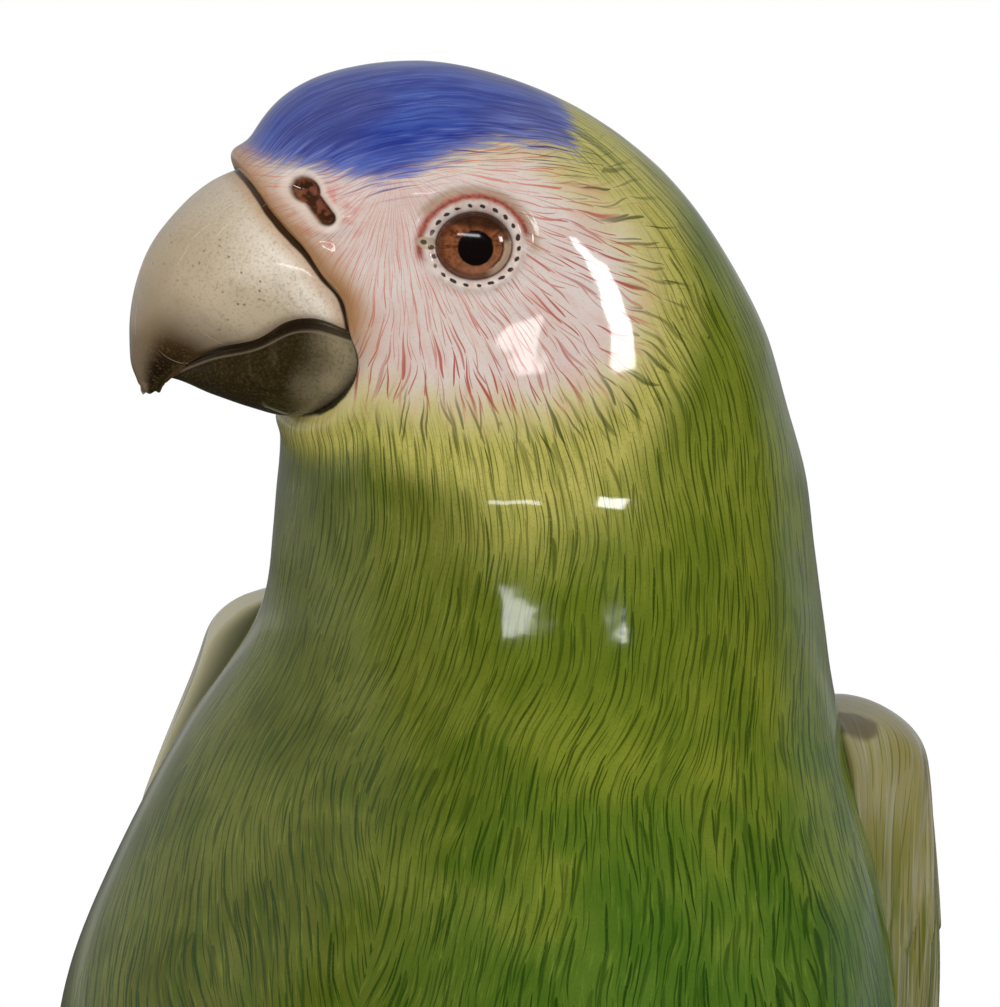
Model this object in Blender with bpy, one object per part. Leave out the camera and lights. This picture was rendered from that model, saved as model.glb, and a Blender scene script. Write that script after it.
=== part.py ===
"""A parrot figurine of glazed porcelain, cast hollow in one piece.

The bird sits upright on a plain tree stump. Its breast faces -Y, and its head turns to its own right.
The whole form is lofts: the bird itself, the two halves of its beak, its wings, its toes and the stump.
They are joined into one body, which is then hollowed from below through the open foot.
Units are metres, +Z is up, and the origin is on the table under the middle of the foot.
"""

import math

import bmesh
import bpy
import numpy as np
from mathutils import Matrix, Vector

# The bird, from the top of the stump up to its crown and down to the tip of its tail
PERCH_HEIGHT = 0.1400
TORSO_HEIGHT = 0.1220
CHEST_DEPTH = 0.0880
CHEST_WIDTH = 0.0950
HEAD_HEIGHT = 0.0480
HEAD_DEPTH = 0.0600
HEAD_WIDTH = 0.0460
HEAD_TURN = 58.0
TAIL_DROP = 0.1000
TAIL_REACH = 0.0345
TAIL_THICKNESS = 0.0130
TAIL_WIDTH = 0.0340

# The beak, measured from the point of the face between its two halves
BEAK_REACH = 0.0160
BEAK_RISE = 0.0190
BEAK_WIDTH = 0.0280
MANDIBLE_DROP = 0.0090
CHIPPED_TIP_RADIUS = 0.0011
BEAK_SQUARENESS = 2.6
EDGE_TUCK = 0.12
NOSTRIL_RADIUS = 0.0015
NOSTRIL_LENGTH = 0.0032

# The eyes
EYE_LENGTH = 0.0085
EYE_TALLNESS = 0.0071
EYE_STANDS_OUT = 0.0009
EYELID_THICKNESS = 0.0014

# The wings
WING_THICKNESS = 0.0060
WING_SEAT = 0.0014
WING_ROOT_DEPTH = 0.0045
FEATHER_STEP = 0.0010
FLIGHT_FEATHERS = 7
SHOULDER_CLOSENESS = 1.7
RIGHT_WING_LIFT = 0.0092

# The feet
TOE_RADIUS = 0.0036
TOE_ON_TOP = 0.0120
TOE_DOWN_SIDE = 0.0120
TOE_STANDS_OFF = 0.0022
CLAW_LENGTH = 0.0090
FRONT_TOES = (20.0, 46.0)
BACK_TOES = (126.0,)

# The stump
FOOT_RADIUS = 0.0600
FOOT_THICKNESS = 0.0080
TRUNK_RADIUS = 0.0275
ROOT_FLARE = 0.0120
ROOT_RISE = 0.0300
ROOTS = 7
RIM_ROUND = 0.0030

# The hollow
WALL = 0.0055

# How finely the lofts are divided
BIRD_SIDES = 34
BIRD_RINGS = 44
HOLLOW_SIDES = 24
HOLLOW_RINGS = 18
WING_SIDES = 36
WING_RINGS = 24
STUMP_SIDES = 44
TOE_SIDES = 8
SLIVER = 0.00005

# Columns of the three tables below: height, how far the middle lies ahead of the axis, half depth, half width,
# squareness (2 is an ellipse), how much wider it is ahead than behind, and the share of the head's turn

# Heights are shares of HEAD_HEIGHT above the throat, places and half depths of HEAD_DEPTH, half widths of
# HEAD_WIDTH
HEAD_ROWS = (
    (1.000, 0.205, 0.000, 0.000, 2.0, 0.00, 1.00),
    (0.970, 0.219, 0.164, 0.180, 2.0, 0.00, 1.00),
    (0.915, 0.200, 0.260, 0.275, 2.1, 0.00, 1.00),
    (0.820, 0.165, 0.352, 0.360, 2.2, -0.05, 1.00),
    (0.730, 0.138, 0.408, 0.405, 2.3, -0.08, 1.00),
    (0.625, 0.108, 0.448, 0.428, 2.4, -0.10, 1.00),
    (0.480, 0.058, 0.470, 0.452, 2.4, -0.10, 1.00),
    (0.333, 0.014, 0.484, 0.478, 2.3, -0.08, 1.00),
    (0.167, -0.024, 0.486, 0.505, 2.2, -0.05, 0.96),
)

# Heights are shares of TORSO_HEIGHT above the perch, places and half depths of CHEST_DEPTH, half widths of
# CHEST_WIDTH
TORSO_ROWS = (
    (1.000, -0.030, 0.348, 0.268, 2.1, 0.00, 0.86),
    (0.926, -0.036, 0.366, 0.303, 2.0, 0.00, 0.66),
    (0.844, -0.034, 0.386, 0.345, 2.0, 0.00, 0.38),
    (0.770, 0.008, 0.418, 0.392, 2.0, 0.00, 0.14),
    (0.697, 0.060, 0.455, 0.436, 2.0, 0.00, 0.00),
    (0.590, 0.118, 0.490, 0.485, 2.1, 0.00, 0.00),
    (0.475, 0.155, 0.510, 0.514, 2.1, 0.00, 0.00),
    (0.328, 0.140, 0.500, 0.505, 2.1, 0.00, 0.00),
    (0.180, 0.060, 0.448, 0.450, 2.1, 0.00, 0.00),
    (0.049, -0.050, 0.352, 0.370, 2.1, 0.00, 0.00),
)

# Heights are shares of TAIL_DROP below the perch, places of TAIL_REACH, half depths of TAIL_THICKNESS, half
# widths of TAIL_WIDTH
TAIL_ROWS = (
    (0.100, -0.310, 1.750, 0.790, 2.2, 0.00, 0.00),
    (0.320, -0.590, 0.900, 0.560, 2.3, 0.00, 0.00),
    (0.600, -0.790, 0.500, 0.500, 2.4, 0.00, 0.00),
    (0.850, -0.930, 0.330, 0.440, 2.4, 0.00, 0.00),
    (0.970, -0.990, 0.170, 0.260, 2.2, 0.00, 0.00),
    (1.000, -1.000, 0.000, 0.000, 2.0, 0.00, 0.00),
)

# Columns: height and place ahead of the axis as shares of TORSO_HEIGHT and CHEST_DEPTH, half depth of
# CHEST_DEPTH, half width of CHEST_WIDTH, the angles of the front and the back edge, and the share of the
# wing's thickness
WING_ROWS = (
    (0.765, -0.055, 0.410, 0.388, 102.0, 112.0, 0.20),
    (0.7595, -0.055, 0.418, 0.408, 94.0, 126.0, 0.72),
    (0.743, -0.052, 0.424, 0.424, 89.5, 138.0, 0.95),
    (0.709, -0.042, 0.434, 0.440, 87.0, 148.0, 1.00),
    (0.655, -0.010, 0.447, 0.461, 84.5, 157.0, 1.00),
    (0.590, 0.035, 0.465, 0.480, 83.0, 163.0, 1.00),
    (0.475, 0.100, 0.495, 0.500, 83.0, 168.0, 0.92),
    (0.350, 0.100, 0.500, 0.498, 85.0, 170.0, 0.85),
    (0.210, 0.050, 0.475, 0.470, 92.0, 172.0, 0.80),
    (0.080, -0.030, 0.420, 0.422, 104.0, 174.0, 0.75),
    (-0.050, -0.130, 0.345, 0.345, 120.0, 175.0, 0.70),
    (-0.180, -0.225, 0.250, 0.260, 136.0, 176.0, 0.60),
    (-0.300, -0.300, 0.165, 0.190, 152.0, 177.0, 0.50),
    (-0.370, -0.335, 0.135, 0.160, 166.0, 177.0, 0.10),
)

# Columns of both halves of the beak: place ahead of the face and height above the mouth of the ridge or keel,
# the same of the cutting edge, and half width at that edge. Places are shares of BEAK_REACH, half widths of
# BEAK_WIDTH, and heights of BEAK_RISE above and MANDIBLE_DROP below
UPPER_BEAK_ROWS = (
    (-0.500, 1.055, -1.125, 0.049, 0.446),
    (-0.050, 1.076, -0.750, 0.086, 0.493),
    (0.263, 0.986, -0.444, 0.160, 0.500),
    (0.506, 0.849, -0.225, 0.223, 0.468),
    (0.669, 0.713, -0.062, 0.207, 0.436),
    (0.781, 0.576, 0.069, 0.139, 0.396),
    (0.862, 0.423, 0.212, 0.081, 0.346),
    (0.925, 0.239, 0.406, 0.034, 0.268),
    (0.950, 0.049, 0.550, -0.045, 0.186),
    (0.938, -0.119, 0.681, -0.151, 0.114),
    (0.869, -0.266, 0.756, -0.256, 0.054),
)
LOWER_BEAK_ROWS = (
    (-0.969, -0.418, -0.969, 0.227, 0.429),
    (-0.613, -0.529, -0.712, 0.260, 0.486),
    (-0.363, -0.840, -0.444, 0.349, 0.496),
    (-0.150, -0.907, -0.225, 0.471, 0.464),
    (0.000, -0.851, -0.062, 0.438, 0.432),
    (0.156, -0.762, 0.069, 0.293, 0.393),
    (0.312, -0.651, 0.212, 0.171, 0.343),
    (0.487, -0.518, 0.406, 0.060, 0.264),
    (0.619, -0.429, 0.550, -0.107, 0.168),
    (0.700, -0.396, 0.681, -0.329, 0.036),
)

FACE_AHEAD = 0.500 * HEAD_DEPTH
MOUTH_Z = PERCH_HEIGHT + TORSO_HEIGHT + 0.345 * HEAD_HEIGHT
EYE_Z = PERCH_HEIGHT + TORSO_HEIGHT + 0.627 * HEAD_HEIGHT
EYE_ANGLE = 84.0
NOSTRIL_AHEAD = 0.435 * HEAD_DEPTH
NOSTRIL_Z = PERCH_HEIGHT + TORSO_HEIGHT + 0.715 * HEAD_HEIGHT
HOLLOW_FLOOR_Z = PERCH_HEIGHT + 0.060 * TORSO_HEIGHT


def bird_levels():
    """The three tables in metres, from the crown down to the tip of the tail."""
    throat = PERCH_HEIGHT + TORSO_HEIGHT
    levels = []
    for height, ahead, depth, width, *shape, turn in HEAD_ROWS:
        place = (throat + height * HEAD_HEIGHT, ahead * HEAD_DEPTH, depth * HEAD_DEPTH, width * HEAD_WIDTH)
        levels.append((*place, *shape, turn * HEAD_TURN))
    for height, ahead, depth, width, *shape, turn in TORSO_ROWS:
        z = PERCH_HEIGHT + height * TORSO_HEIGHT
        place = (z, ahead * CHEST_DEPTH, depth * CHEST_DEPTH, width * CHEST_WIDTH)
        levels.append((*place, *shape, turn * HEAD_TURN))
    for height, ahead, depth, width, *shape, turn in TAIL_ROWS:
        z = PERCH_HEIGHT - height * TAIL_DROP
        place = (z, ahead * TAIL_REACH, depth * TAIL_THICKNESS, width * TAIL_WIDTH)
        levels.append((*place, *shape, turn * HEAD_TURN))
    return np.array(levels)


def curve_through(rows, reach, at, mirrored=None):
    """The cubic spline through the rows, read at shares `at` of its length.

    Rows lie at the running distances `reach`. The second slope at each row makes the first slopes meet, which
    is one linear system for all of them. With `mirrored` columns, those change sign beyond each end, so that
    a closed end is round.
    """
    rows = np.asarray(rows, float)
    if mirrored is not None:
        before, after = rows[1].copy(), rows[-2].copy()
        before[mirrored] *= -1
        after[mirrored] *= -1
        rows = np.vstack([before, rows, after])
        reach = np.concatenate([[2 * reach[0] - reach[1]], reach, [2 * reach[-1] - reach[-2]]])
    steps = np.diff(reach)
    count = len(rows)
    system = np.eye(count)
    right = np.zeros_like(rows)
    inner = np.arange(1, count - 1)
    system[inner, inner - 1] = steps[:-1]
    system[inner, inner] = 2 * (steps[:-1] + steps[1:])
    system[inner, inner + 1] = steps[1:]
    slopes = np.diff(rows, axis=0) / steps[:, None]
    right[inner] = 6 * np.diff(slopes, axis=0)
    bend = np.linalg.solve(system, right)
    start, end = (1, count - 2) if mirrored is not None else (0, count - 1)
    where = reach[start] + np.asarray(at) * (reach[end] - reach[start])
    piece = np.clip(np.searchsorted(reach, where, side="right") - 1, start, end - 1)
    ahead = (where - reach[piece])[:, None]
    behind = (reach[piece + 1] - where)[:, None]
    step = steps[piece][:, None]
    return (
        bend[piece] * behind**3 / (6 * step)
        + bend[piece + 1] * ahead**3 / (6 * step)
        + (rows[piece] / step - bend[piece] * step / 6) * behind
        + (rows[piece + 1] / step - bend[piece + 1] * step / 6) * ahead
    )


def running_distance(*columns):
    """Distance along the rows, as these columns change from one row to the next."""
    steps = np.sqrt(sum(np.diff(column) ** 2 for column in columns))
    return np.concatenate([[0.0], np.cumsum(steps)])


def level_points(levels, angles):
    """Points round the levels at these angles, which run from straight ahead to the bird's left.

    A level is an ellipse of any squareness, widened or narrowed ahead, moved along the way it faces and turned.
    """
    z, ahead, depth, width, power, wider, turn = (levels[:, [i]] for i in range(7))
    depth, width = np.maximum(depth, 1e-6), np.maximum(width, 1e-6)
    c, s = np.cos(angles)[None, :], np.sin(angles)[None, :]
    radius = ((np.abs(c) / depth) ** power + (np.abs(s) / width) ** power) ** (-1 / power)
    forward = ahead + radius * c
    side = radius * s * (1 + wider * c)
    turn = np.radians(turn)
    x = -forward * np.sin(turn) + side * np.cos(turn)
    y = -forward * np.cos(turn) - side * np.sin(turn)
    return np.stack([x, y, z + 0 * x], axis=2)


def bird_rings(count):
    """Levels of the whole bird at even distances along its outline, from crown to tail."""
    levels = bird_levels()
    reach = running_distance(levels[:, 0], levels[:, 2])
    return curve_through(levels, reach, np.linspace(0, 1, count), mirrored=[2, 3])


def head_place(forward, side, z):
    """The point this far ahead of the axis the way the head faces, this far to its left, at this height."""
    turn = math.radians(HEAD_TURN)
    x = -forward * math.sin(turn) + side * math.cos(turn)
    y = -forward * math.cos(turn) - side * math.sin(turn)
    return Vector((x, y, z))


def angles_round(sides):
    return np.arange(sides) * 2 * np.pi / sides


def loft(name, rings):
    """An object whose skin runs through the rings in order and closes over the first and the last."""
    rings = np.asarray(rings, float)
    count, sides = rings.shape[:2]
    mesh = bmesh.new()
    verts = [[mesh.verts.new(point) for point in ring] for ring in rings]
    for near, far in zip(verts, verts[1:]):
        for i in range(sides):
            j = (i + 1) % sides
            mesh.faces.new((near[i], near[j], far[j], far[i]))
    mesh.faces.new(verts[0])
    mesh.faces.new(verts[-1])
    bmesh.ops.remove_doubles(mesh, verts=mesh.verts, dist=0.00002)
    bmesh.ops.recalc_face_normals(mesh, faces=mesh.faces)
    data = bpy.data.meshes.new(name)
    mesh.to_mesh(data)
    mesh.free()
    return bpy.data.objects.new(name, data)


def bird_body():
    rings = bird_rings(BIRD_RINGS)
    return loft("parrot_figurine", level_points(rings, angles_round(BIRD_SIDES)))


def beak_ring(ridge, edge, half_width, sides):
    """A section of the beak: a dome from its cutting edges up to the ridge, tucked in flat behind those edges."""
    around = angles_round(sides)
    c, s = np.cos(around), np.sin(around)
    radius = (np.abs(c) ** BEAK_SQUARENESS + np.abs(s) ** BEAK_SQUARENESS) ** (-1 / BEAK_SQUARENESS)
    rise = np.where(c > 0, radius * c, EDGE_TUCK * radius * c)
    plane = edge + rise[:, None] * (ridge - edge)
    across = half_width * radius * s
    return [head_place(forward, side, z) for (forward, z), side in zip(plane, across)]


def beak_half(name, table, rise, sides, rings):
    """One half of the beak, from its table and the height that its rows are shares of."""
    rows = []
    for ridge, ridge_z, edge, edge_z, width in table:
        top = (FACE_AHEAD + ridge * BEAK_REACH, MOUTH_Z + ridge_z * rise)
        low = (FACE_AHEAD + edge * BEAK_REACH, MOUTH_Z + edge_z * rise)
        rows.append((*top, *low, max(width * BEAK_WIDTH, CHIPPED_TIP_RADIUS)))
    rows = np.array(rows)
    middle = (rows[:, 0:2] + rows[:, 2:4]) / 2
    reach = running_distance(middle[:, 0], middle[:, 1])
    rows = curve_through(rows, reach, np.linspace(0, 1, rings))
    return loft(name, [beak_ring(row[0:2], row[2:4], row[4], sides) for row in rows])


def beak():
    upper = beak_half("upper_beak", UPPER_BEAK_ROWS, BEAK_RISE, sides=24, rings=19)
    lower = beak_half("lower_beak", LOWER_BEAK_ROWS, MANDIBLE_DROP, sides=22, rings=13)
    return [upper, lower]


def head_level(z):
    """The bird's level at this height, by reading the outline at the height between two close levels."""
    levels = bird_rings(600)
    order = np.argsort(levels[:, 0])
    return np.array([[np.interp(z, levels[order, 0], levels[order, i]) for i in range(7)]])


def place_and_normal(angle, z):
    """A point on the head's skin and the way the skin faces there."""
    near = level_points(head_level(z), np.array([angle, angle + 0.01]))[0]
    above = level_points(head_level(z + 0.0005), np.array([angle]))[0, 0]
    normal = np.cross(near[1] - near[0], above - near[0])
    return Vector(near[0]), Vector(normal).normalized()


def facing(place, normal):
    return Matrix.Translation(place) @ normal.to_track_quat("Z", "Y").to_matrix().to_4x4()


def ball(name, radius, matrix, segments=16, rings=10):
    mesh = bmesh.new()
    bmesh.ops.create_uvsphere(mesh, u_segments=segments, v_segments=rings, radius=radius, matrix=matrix)
    data = bpy.data.meshes.new(name)
    mesh.to_mesh(data)
    mesh.free()
    return bpy.data.objects.new(name, data)


def eyelid(name, matrix):
    """A ring of clay round the eye: a round section carried round a circle as long as the eye."""
    around = angles_round(22)
    section = angles_round(8)
    radius = EYE_LENGTH / 2 + EYELID_THICKNESS / 2 * (1 + np.cos(section)[None, :])
    rise = EYELID_THICKNESS / 2 * np.sin(section)[None, :] + 0 * radius
    x = radius * np.cos(around)[:, None]
    y = radius * np.sin(around)[:, None]
    points = np.stack([x, y, rise + 0 * x], axis=2)
    mesh = bmesh.new()
    verts = [[mesh.verts.new(matrix @ Vector(point)) for point in ring] for ring in points]
    for i, ring in enumerate(verts):
        following = verts[(i + 1) % len(verts)]
        for j in range(len(ring)):
            k = (j + 1) % len(ring)
            mesh.faces.new((ring[j], following[j], following[k], ring[k]))
    bmesh.ops.recalc_face_normals(mesh, faces=mesh.faces)
    data = bpy.data.meshes.new(name)
    mesh.to_mesh(data)
    mesh.free()
    return bpy.data.objects.new(name, data)


def eyes():
    """An eyeball sunk in the skin on each side of the head, less tall than long, with its lid round it."""
    radius = EYE_LENGTH / 2 + EYELID_THICKNESS / 2
    lower = Matrix.Diagonal((1, EYE_TALLNESS / EYE_LENGTH, 1, 1))
    forms = []
    for side, sign in (("left", 1), ("right", -1)):
        place, normal = place_and_normal(sign * math.radians(EYE_ANGLE), EYE_Z)
        sunk = place + normal * (EYE_STANDS_OUT - radius)
        forms.append(ball(f"{side}_eyeball", radius, facing(sunk, normal) @ lower))
        forms.append(eyelid(f"{side}_eyelid", facing(place, normal) @ lower))
    return forms


def nostrils():
    """A pit in the skin above the beak on each side: a deep round hole with a shallower one under it."""
    pits = []
    places = (
        ("nostril", NOSTRIL_AHEAD, NOSTRIL_Z, NOSTRIL_RADIUS),
        ("nostril_tail", NOSTRIL_AHEAD - NOSTRIL_LENGTH / 2, NOSTRIL_Z - NOSTRIL_LENGTH, 0.65 * NOSTRIL_RADIUS),
    )
    for name, ahead, z, radius in places:
        level = head_level(z)[0]
        angle = math.acos(min((ahead - level[1]) / level[2], 0.98))
        for side, sign in (("left", 1), ("right", -1)):
            place, normal = place_and_normal(sign * angle, z)
            pits.append(ball(f"{side}_{name}", radius, facing(place, normal), segments=10, rings=6))
    return pits


def wing_rows():
    rows = []
    for height, ahead, depth, width, front, back, thickness in WING_ROWS:
        z = PERCH_HEIGHT + height * TORSO_HEIGHT
        place = (z, ahead * CHEST_DEPTH, depth * CHEST_DEPTH, width * CHEST_WIDTH)
        rows.append((*place, front, back, thickness * WING_THICKNESS))
    return np.array(rows)


def feather_relief(across, down):
    """Height of the flight feathers: each is a long tile that rises from one edge to a step at the other.

    The step fades in below the shoulder and towards the wing's two edges.
    """
    tile = (across * FLIGHT_FEATHERS - 0.6 * down) % 1.0
    fade = np.clip((down - 0.25) / 0.2, 0, 1) * np.clip(across / 0.1, 0, 1) * np.clip((1 - across) / 0.1, 0, 1)
    return FEATHER_STEP * tile * fade


def wing(name, side, lift):
    """A folded wing: a lens that lies on the flank from its front to its back edge.

    Outside, it stands off by its thickness times the sine of the way round, and inside it is rooted in the body.
    Its rings lie closer together at the round shoulder, by a power of the way down.
    """
    rows = wing_rows()
    reach = running_distance(rows[:, 0], rows[:, 1])
    rows = curve_through(rows, reach, np.linspace(0, 1, WING_RINGS) ** SHOULDER_CLOSENESS)
    outer = 3 * WING_SIDES // 4
    around = np.concatenate([
        np.linspace(0, np.pi, outer, endpoint=False),
        np.linspace(np.pi, 2 * np.pi, WING_SIDES - outer, endpoint=False),
    ])
    across = (1 - np.cos(around)) / 2
    down = np.linspace(0, 1, WING_RINGS)[:, None] ** SHOULDER_CLOSENESS
    z, ahead, depth, width, front, back, thickness = (rows[:, [i]] for i in range(7))
    angle = np.radians(front + (back - front) * across[None, :])
    stands = np.sin(around)[None, :]
    outside = thickness * stands + feather_relief(across[None, :], down) * (stands > 0)
    rooted = WING_ROOT_DEPTH * stands * thickness / WING_THICKNESS
    off = np.where(stands > 0, outside, rooted) - WING_SEAT
    x = side * (width + off) * np.sin(angle)
    y = -ahead - (depth + off) * np.cos(angle)
    return loft(name, np.stack([x, y, z + lift + 0 * x], axis=2))


def toe(name, angle):
    """A toe that reaches out over the rim of the stump and grips it, with its claw."""
    rim = TRUNK_RADIUS
    outer = rim + TOE_STANDS_OFF
    nail = PERCH_HEIGHT - TOE_DOWN_SIDE
    path = np.array([
        (rim - TOE_ON_TOP, PERCH_HEIGHT + 0.55 * TOE_RADIUS, TOE_RADIUS),
        (rim - 0.50 * TOE_ON_TOP, PERCH_HEIGHT + 0.60 * TOE_RADIUS, 1.05 * TOE_RADIUS),
        (rim - 0.04 * TOE_ON_TOP, PERCH_HEIGHT + 0.22 * TOE_RADIUS, TOE_RADIUS),
        (outer, PERCH_HEIGHT - 0.33 * TOE_DOWN_SIDE, 0.95 * TOE_RADIUS),
        (outer, PERCH_HEIGHT - 0.75 * TOE_DOWN_SIDE, 0.80 * TOE_RADIUS),
        (outer, nail, 0.50 * TOE_RADIUS),
        (rim + 0.20 * TOE_STANDS_OFF, nail - CLAW_LENGTH, 0.08 * TOE_RADIUS),
    ])
    reach = running_distance(path[:, 0], path[:, 1])
    path = curve_through(path, reach, np.linspace(0, 1, 11))
    along = np.gradient(path[:, :2], axis=0)
    along /= np.linalg.norm(along, axis=1)[:, None]
    around = angles_round(TOE_SIDES)
    out = path[:, [0]] - along[:, [1]] * path[:, [2]] * np.cos(around)
    up = path[:, [1]] + along[:, [0]] * path[:, [2]] * np.cos(around)
    across = path[:, [2]] * np.sin(around)
    turn = math.radians(angle)
    x = out * math.sin(turn) + across * math.cos(turn)
    y = -out * math.cos(turn) + across * math.sin(turn)
    return loft(name, np.stack([x, y, up], axis=2))


def toes():
    forms = []
    for side, sign in (("left", 1), ("right", -1)):
        for number, angle in enumerate(FRONT_TOES + BACK_TOES):
            forms.append(toe(f"{side}_toe_{number}", sign * angle))
    return forms


def trunk_radius(z):
    """The stump's radius between its roots: it widens towards the foot as the square of the way down."""
    down = np.clip(1 - (z - FOOT_THICKNESS) / (PERCH_HEIGHT - FOOT_THICKNESS), 0, 1)
    return TRUNK_RADIUS + 0.1 * TRUNK_RADIUS * down + 0.35 * TRUNK_RADIUS * down**6


def stump():
    """A trunk with roots running out over a round foot."""
    around = angles_round(STUMP_SIDES)[None, :]
    rise = np.array([0.0, 0.12, 0.3, 0.55, 1.0, 1.7, 2.6, 3.6])[:, None] * ROOT_RISE
    z = FOOT_THICKNESS + rise
    z = z[z[:, 0] < PERCH_HEIGHT - RIM_ROUND]
    fade = np.exp(-((z - FOOT_THICKNESS) / ROOT_RISE))
    sides = trunk_radius(z) + ROOT_FLARE * fade * (0.5 + 0.5 * np.cos(ROOTS * around))
    bottom = np.array([[0.0], [0.7 * FOOT_THICKNESS]])
    foot = np.array([[0.98], [1.0]]) * FOOT_RADIUS + 0 * around
    lip = np.array([[FOOT_THICKNESS]])
    shoulder = 0.93 * FOOT_RADIUS + 0 * around
    top = np.array([[PERCH_HEIGHT - RIM_ROUND], [PERCH_HEIGHT]])
    rim = np.array([[TRUNK_RADIUS], [TRUNK_RADIUS - RIM_ROUND]]) + 0 * around
    z = np.vstack([bottom, lip, z + 0.0004, top])
    radius = np.vstack([foot, shoulder, sides, rim])
    return loft("stump", np.stack([radius * np.sin(around), -radius * np.cos(around), z + 0 * radius], axis=2))


def stump_hollow():
    """The space inside the stump, a wall's thickness in from the trunk and open through the foot."""
    around = angles_round(HOLLOW_SIDES)[None, :]
    z = np.linspace(FOOT_THICKNESS, HOLLOW_FLOOR_Z + WALL, 7)[:, None]
    z = np.vstack([[[-WALL]], z])
    radius = trunk_radius(z) - WALL + 0 * around
    return loft("stump_hollow", np.stack([radius * np.sin(around), -radius * np.cos(around), z + 0 * radius], axis=2))


def bird_hollow():
    """The space inside the bird, a wall's thickness in from its skin, down to the floor over the stump."""
    levels = bird_rings(400)
    keep = (levels[:, 0] > HOLLOW_FLOOR_Z) & (np.minimum(levels[:, 2], levels[:, 3]) > 1.6 * WALL)
    levels = levels[keep]
    levels = levels[np.linspace(0, len(levels) - 1, HOLLOW_RINGS).astype(int)]
    levels[:, 2:4] -= WALL
    return loft("bird_hollow", level_points(levels, angles_round(HOLLOW_SIDES)))


def glazed_porcelain():
    material = bpy.data.materials.new("glazed_porcelain")
    material.use_nodes = True
    shader = material.node_tree.nodes["Principled BSDF"]
    shader.inputs["Base Color"].default_value = (0.19, 0.25, 0.06, 1.0)
    shader.inputs["Roughness"].default_value = 0.12
    shader.inputs["Metallic"].default_value = 0.0
    shader.inputs["Coat Weight"].default_value = 0.8
    return material


def collection(name):
    made = bpy.data.collections.new(name)
    bpy.context.scene.collection.children.link(made)
    return made


def put_away(forms, into):
    """Links helper forms into a collection, drawn as wire and left out of a render."""
    for form in forms:
        into.objects.link(form)
        form.hide_render = True
        form.display_type = "WIRE"


def boolean(target, operation, operands):
    modifier = target.modifiers.new(operands.name, "BOOLEAN")
    modifier.operation = operation
    modifier.solver = "EXACT"
    modifier.operand_type = "COLLECTION"
    modifier.collection = operands


def pieces_of(mesh):
    """The faces of the mesh as lists, one for each closed skin."""
    left = set(mesh.faces)
    pieces = []
    while left:
        front = [left.pop()]
        piece = []
        while front:
            face = front.pop()
            piece.append(face)
            near = {other for edge in face.edges for other in edge.link_faces} & left
            left -= near
            front.extend(near)
        pieces.append(piece)
    return pieces


def settle(body):
    """Applies the joins and cuts, and clears slivers and crumbs thinner than SLIVER from the skin."""
    graph = bpy.context.evaluated_depsgraph_get()
    joined = bpy.data.meshes.new_from_object(body.evaluated_get(graph))
    body.modifiers.clear()
    mesh = bmesh.new()
    mesh.from_mesh(joined)
    bmesh.ops.remove_doubles(mesh, verts=mesh.verts, dist=SLIVER)
    bmesh.ops.dissolve_degenerate(mesh, edges=mesh.edges, dist=SLIVER)
    bmesh.ops.triangulate(mesh, faces=mesh.faces)
    pieces = sorted(pieces_of(mesh), key=len)
    crumbs = [face for piece in pieces[:-1] for face in piece]
    bmesh.ops.delete(mesh, geom=crumbs, context="FACES")
    mesh.to_mesh(joined)
    mesh.free()
    body.data = joined


def main():
    for obj in list(bpy.data.objects):
        bpy.data.objects.remove(obj, do_unlink=True)
    figurine = collection("parrot_figurine")
    added = collection("joined_forms")
    cut = collection("cutters")
    body = bird_body()
    body.data.materials.append(glazed_porcelain())
    figurine.objects.link(body)
    wings = [wing("left_wing", 1, 0.0), wing("right_wing", -1, RIGHT_WING_LIFT)]
    put_away([stump(), *beak(), *eyes(), *wings, *toes()], added)
    put_away([stump_hollow(), bird_hollow(), *nostrils()], cut)
    boolean(body, "UNION", added)
    boolean(body, "DIFFERENCE", cut)
    bpy.context.view_layer.update()
    settle(body)
    body.data.shade_smooth()
    body.data.set_sharp_from_angle(angle=math.radians(50))


if __name__ == "__main__":
    main()
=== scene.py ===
"""The looks of a glazed, hand-painted porcelain parrot on a tree stump.

The skin, the beak, the wings, the toes and the stump are surfaces worked out on grids of points, the bird's own from
tables of its levels. Each carries maps of how its feathers or its bark flow. The paint is brush strokes and washes
that follow those maps, under one clear glaze.
"""

import math

import bpy
import numpy as np
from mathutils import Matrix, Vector


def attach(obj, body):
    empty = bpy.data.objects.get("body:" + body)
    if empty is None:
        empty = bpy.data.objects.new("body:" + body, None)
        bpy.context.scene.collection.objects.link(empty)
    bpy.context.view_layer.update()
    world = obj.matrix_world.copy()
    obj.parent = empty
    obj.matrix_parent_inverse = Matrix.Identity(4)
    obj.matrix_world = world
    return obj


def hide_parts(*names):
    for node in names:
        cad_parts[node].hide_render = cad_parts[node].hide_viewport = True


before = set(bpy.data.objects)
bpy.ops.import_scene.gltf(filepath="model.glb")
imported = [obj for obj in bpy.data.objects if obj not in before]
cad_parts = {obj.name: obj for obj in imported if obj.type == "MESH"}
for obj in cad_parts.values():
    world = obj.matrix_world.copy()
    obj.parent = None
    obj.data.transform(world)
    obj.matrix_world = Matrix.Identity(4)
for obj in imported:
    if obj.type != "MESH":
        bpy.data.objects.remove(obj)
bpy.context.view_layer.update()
NODE = "parrot_figurine"
MM = 0.001

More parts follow.
